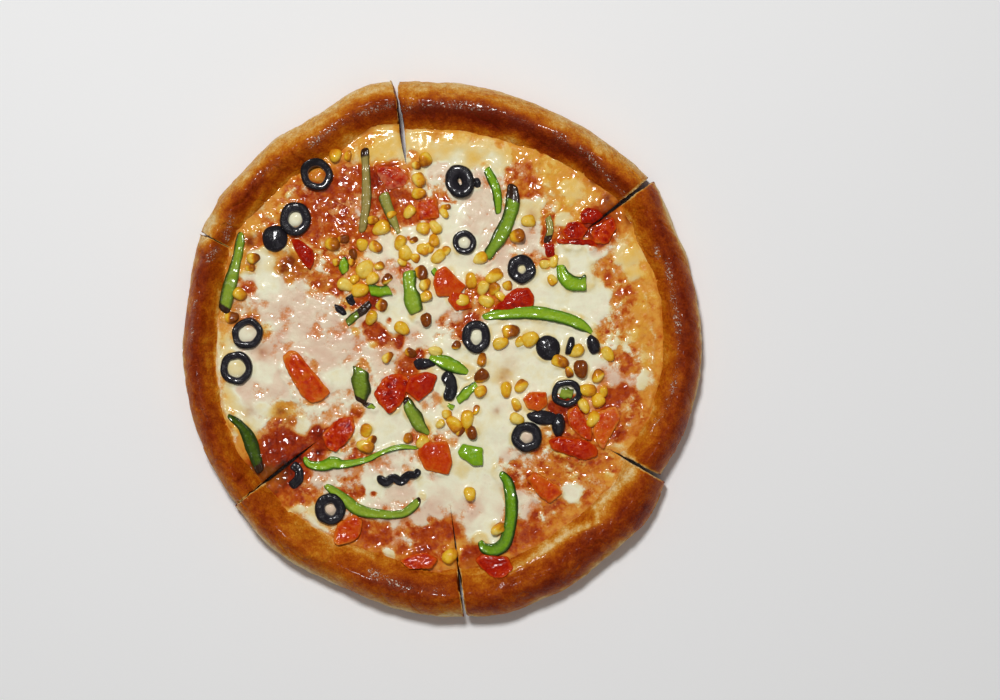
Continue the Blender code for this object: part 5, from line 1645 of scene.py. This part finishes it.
def bed_shape(key):
    piece, u, v = start_grid("cheese_" + key, BED_COLUMNS, BED_ROWS)
    outer, width = rim_at(key, u)
    inner = outer - width
    first = slice_angles(key)[0]
    arc = (first + 60 * u) * 2.1
    edge = inner + 2.4 + 1.6 * rough(arc, arc * 0, 9, 83, 3)
    distance = v * edge
    x, y = slice_spot(key, u, distance, 0.42)
    thick = cheese_fields(x, y)[0]
    slope = table_value(SLOPE, distance - inner)
    flat = BED_FLAT + waves(x, y) + climb(x, y)
    flat = flat + cheese_rise(x, y) + bed_relief(x, y, thick) * ease((edge - distance) / 7)
    lap = slope + 0.22 + 0.25 * rough(x, y, 4, 85, 2)
    top = 0.5 * np.logaddexp(2 * flat, 2 * lap) + 1.1 * strings_at(x, y, RIDGE)
    near = ease((edge - distance) / 3.0)
    z = top * near + (slope - 1.0) * (1 - near)
    side = cut_distance(key, x, y)
    gap = np.maximum(table_value(CUTS[SLICES[key][0]][1], distance) * (u < 0.5),
                     table_value(CUTS[SLICES[key][1]][1], distance) * (u >= 0.5))
    z = z - 1.3 * np.exp(-np.maximum(side, 0) / 0.9) * ease((gap - 0.6) / 0.8)
    move_points(piece, x, y, z)
    weld(piece, 0.004)
    return piece


def close_below(piece, level):
    """Extrudes the open border down to a level and fills the base with one face."""
    edit(piece)
    bpy.ops.mesh.select_all(action="DESELECT")
    bpy.ops.mesh.select_mode(type="EDGE")
    bpy.ops.mesh.select_non_manifold()
    bpy.ops.mesh.extrude_region_move(TRANSFORM_OT_translate={"value": (0, 0, -2 * MM)})
    bpy.ops.object.mode_set(mode="OBJECT")
    p = points_of(piece)
    low = np.empty(len(p), bool)
    piece.data.vertices.foreach_get("select", low)
    p[low, 2] = level
    move_points(piece, *p.T)
    bpy.ops.object.mode_set(mode="EDIT")
    bpy.ops.mesh.edge_face_add()
    bpy.ops.mesh.select_all(action="SELECT")
    bpy.ops.mesh.normals_make_consistent(inside=False)
    bpy.ops.object.mode_set(mode="OBJECT")
    return low


for key in SLICES:
    piece = bed_shape(key)
    low = close_below(piece, BED_BOTTOM)
    x, y, z = points_of(piece).T
    thick, tint, tone, toast, mottle = cheese_fields(x, y)
    stain = climb(x, y) * ease(rough(x, y, 6, 89, 2) + 0.5)
    tint = tint + 0.30 * stain
    thick = thick - 0.22 * stain
    paint(piece, "thick", thick * ~low)
    paint(piece, "tint", tint)
    paint(piece, "tone", np.where(low, 0.2, tone))
    paint(piece, "toast", toast)
    paint(piece, "mottle", mottle)
    finish_piece(piece, CHEESE, 55)
    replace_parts(piece, "bed_" + key)
    print(piece.name, "points:", len(x), "open border points:", int(low.sum()))

# %% [markdown]
# ## Floor, light and camera
# The pizza lies on a plain pale floor. One large lamp stands high behind the picture's top
# edge, a little to the left, and the room fills the rest with weak light, so shadows stay
# soft. The camera looks straight down from 1.4 m, a little to the right of the middle.


# %% Studio
def make_floor():
    deselect()
    bpy.ops.mesh.primitive_grid_add(x_subdivisions=2, y_subdivisions=2, size=6.0,
                                    location=(0, 0, -0.0006))
    floor = bpy.context.object
    floor.name = "floor"
    material, tree, shader = new_material("pale_floor", Roughness=0.9, Specular_IOR_Level=0.2)
    shade = uneven(tree, 400.0, 0.01, 0.95)
    tree.links.new(put(tree, "CombineColor", {0: shade, 1: shade, 2: shade}).outputs[0],
                   shader.inputs["Base Color"])
    floor.data.materials.append(material)


def make_lamp(name, place, size, power):
    """A round lamp that shines at the middle of the pizza."""
    lamp = bpy.data.lights.new(name, "AREA")
    lamp.shape, lamp.size, lamp.energy = "DISK", size, power
    holder = bpy.data.objects.new(name, lamp)
    bpy.context.scene.collection.objects.link(holder)
    holder.location = place
    holder.rotation_euler = holder.location.to_track_quat("Z", "Y").to_euler()


make_floor()
make_lamp("key", (-0.20, 0.62, 1.6), 0.28, 20)
make_lamp("fill", (0.5, -0.9, 1.6), 1.4, 2)
world = bpy.data.worlds.new("room")
bpy.context.scene.world = world
world.use_nodes = True
room = world.node_tree.nodes["Background"].inputs
room["Color"].default_value, room["Strength"].default_value = (1.0, 0.99, 0.97, 1), 0.14

view = bpy.data.cameras.new("camera")
view.sensor_width, view.lens = 36, 95.1
camera = bpy.data.objects.new("camera", view)
camera.location = (0.031, -0.0005, 1.42)
bpy.context.scene.collection.objects.link(camera)
bpy.context.scene.camera = camera
bpy.context.scene.view_settings.view_transform = "Standard"
print("camera height:", camera.location.z)
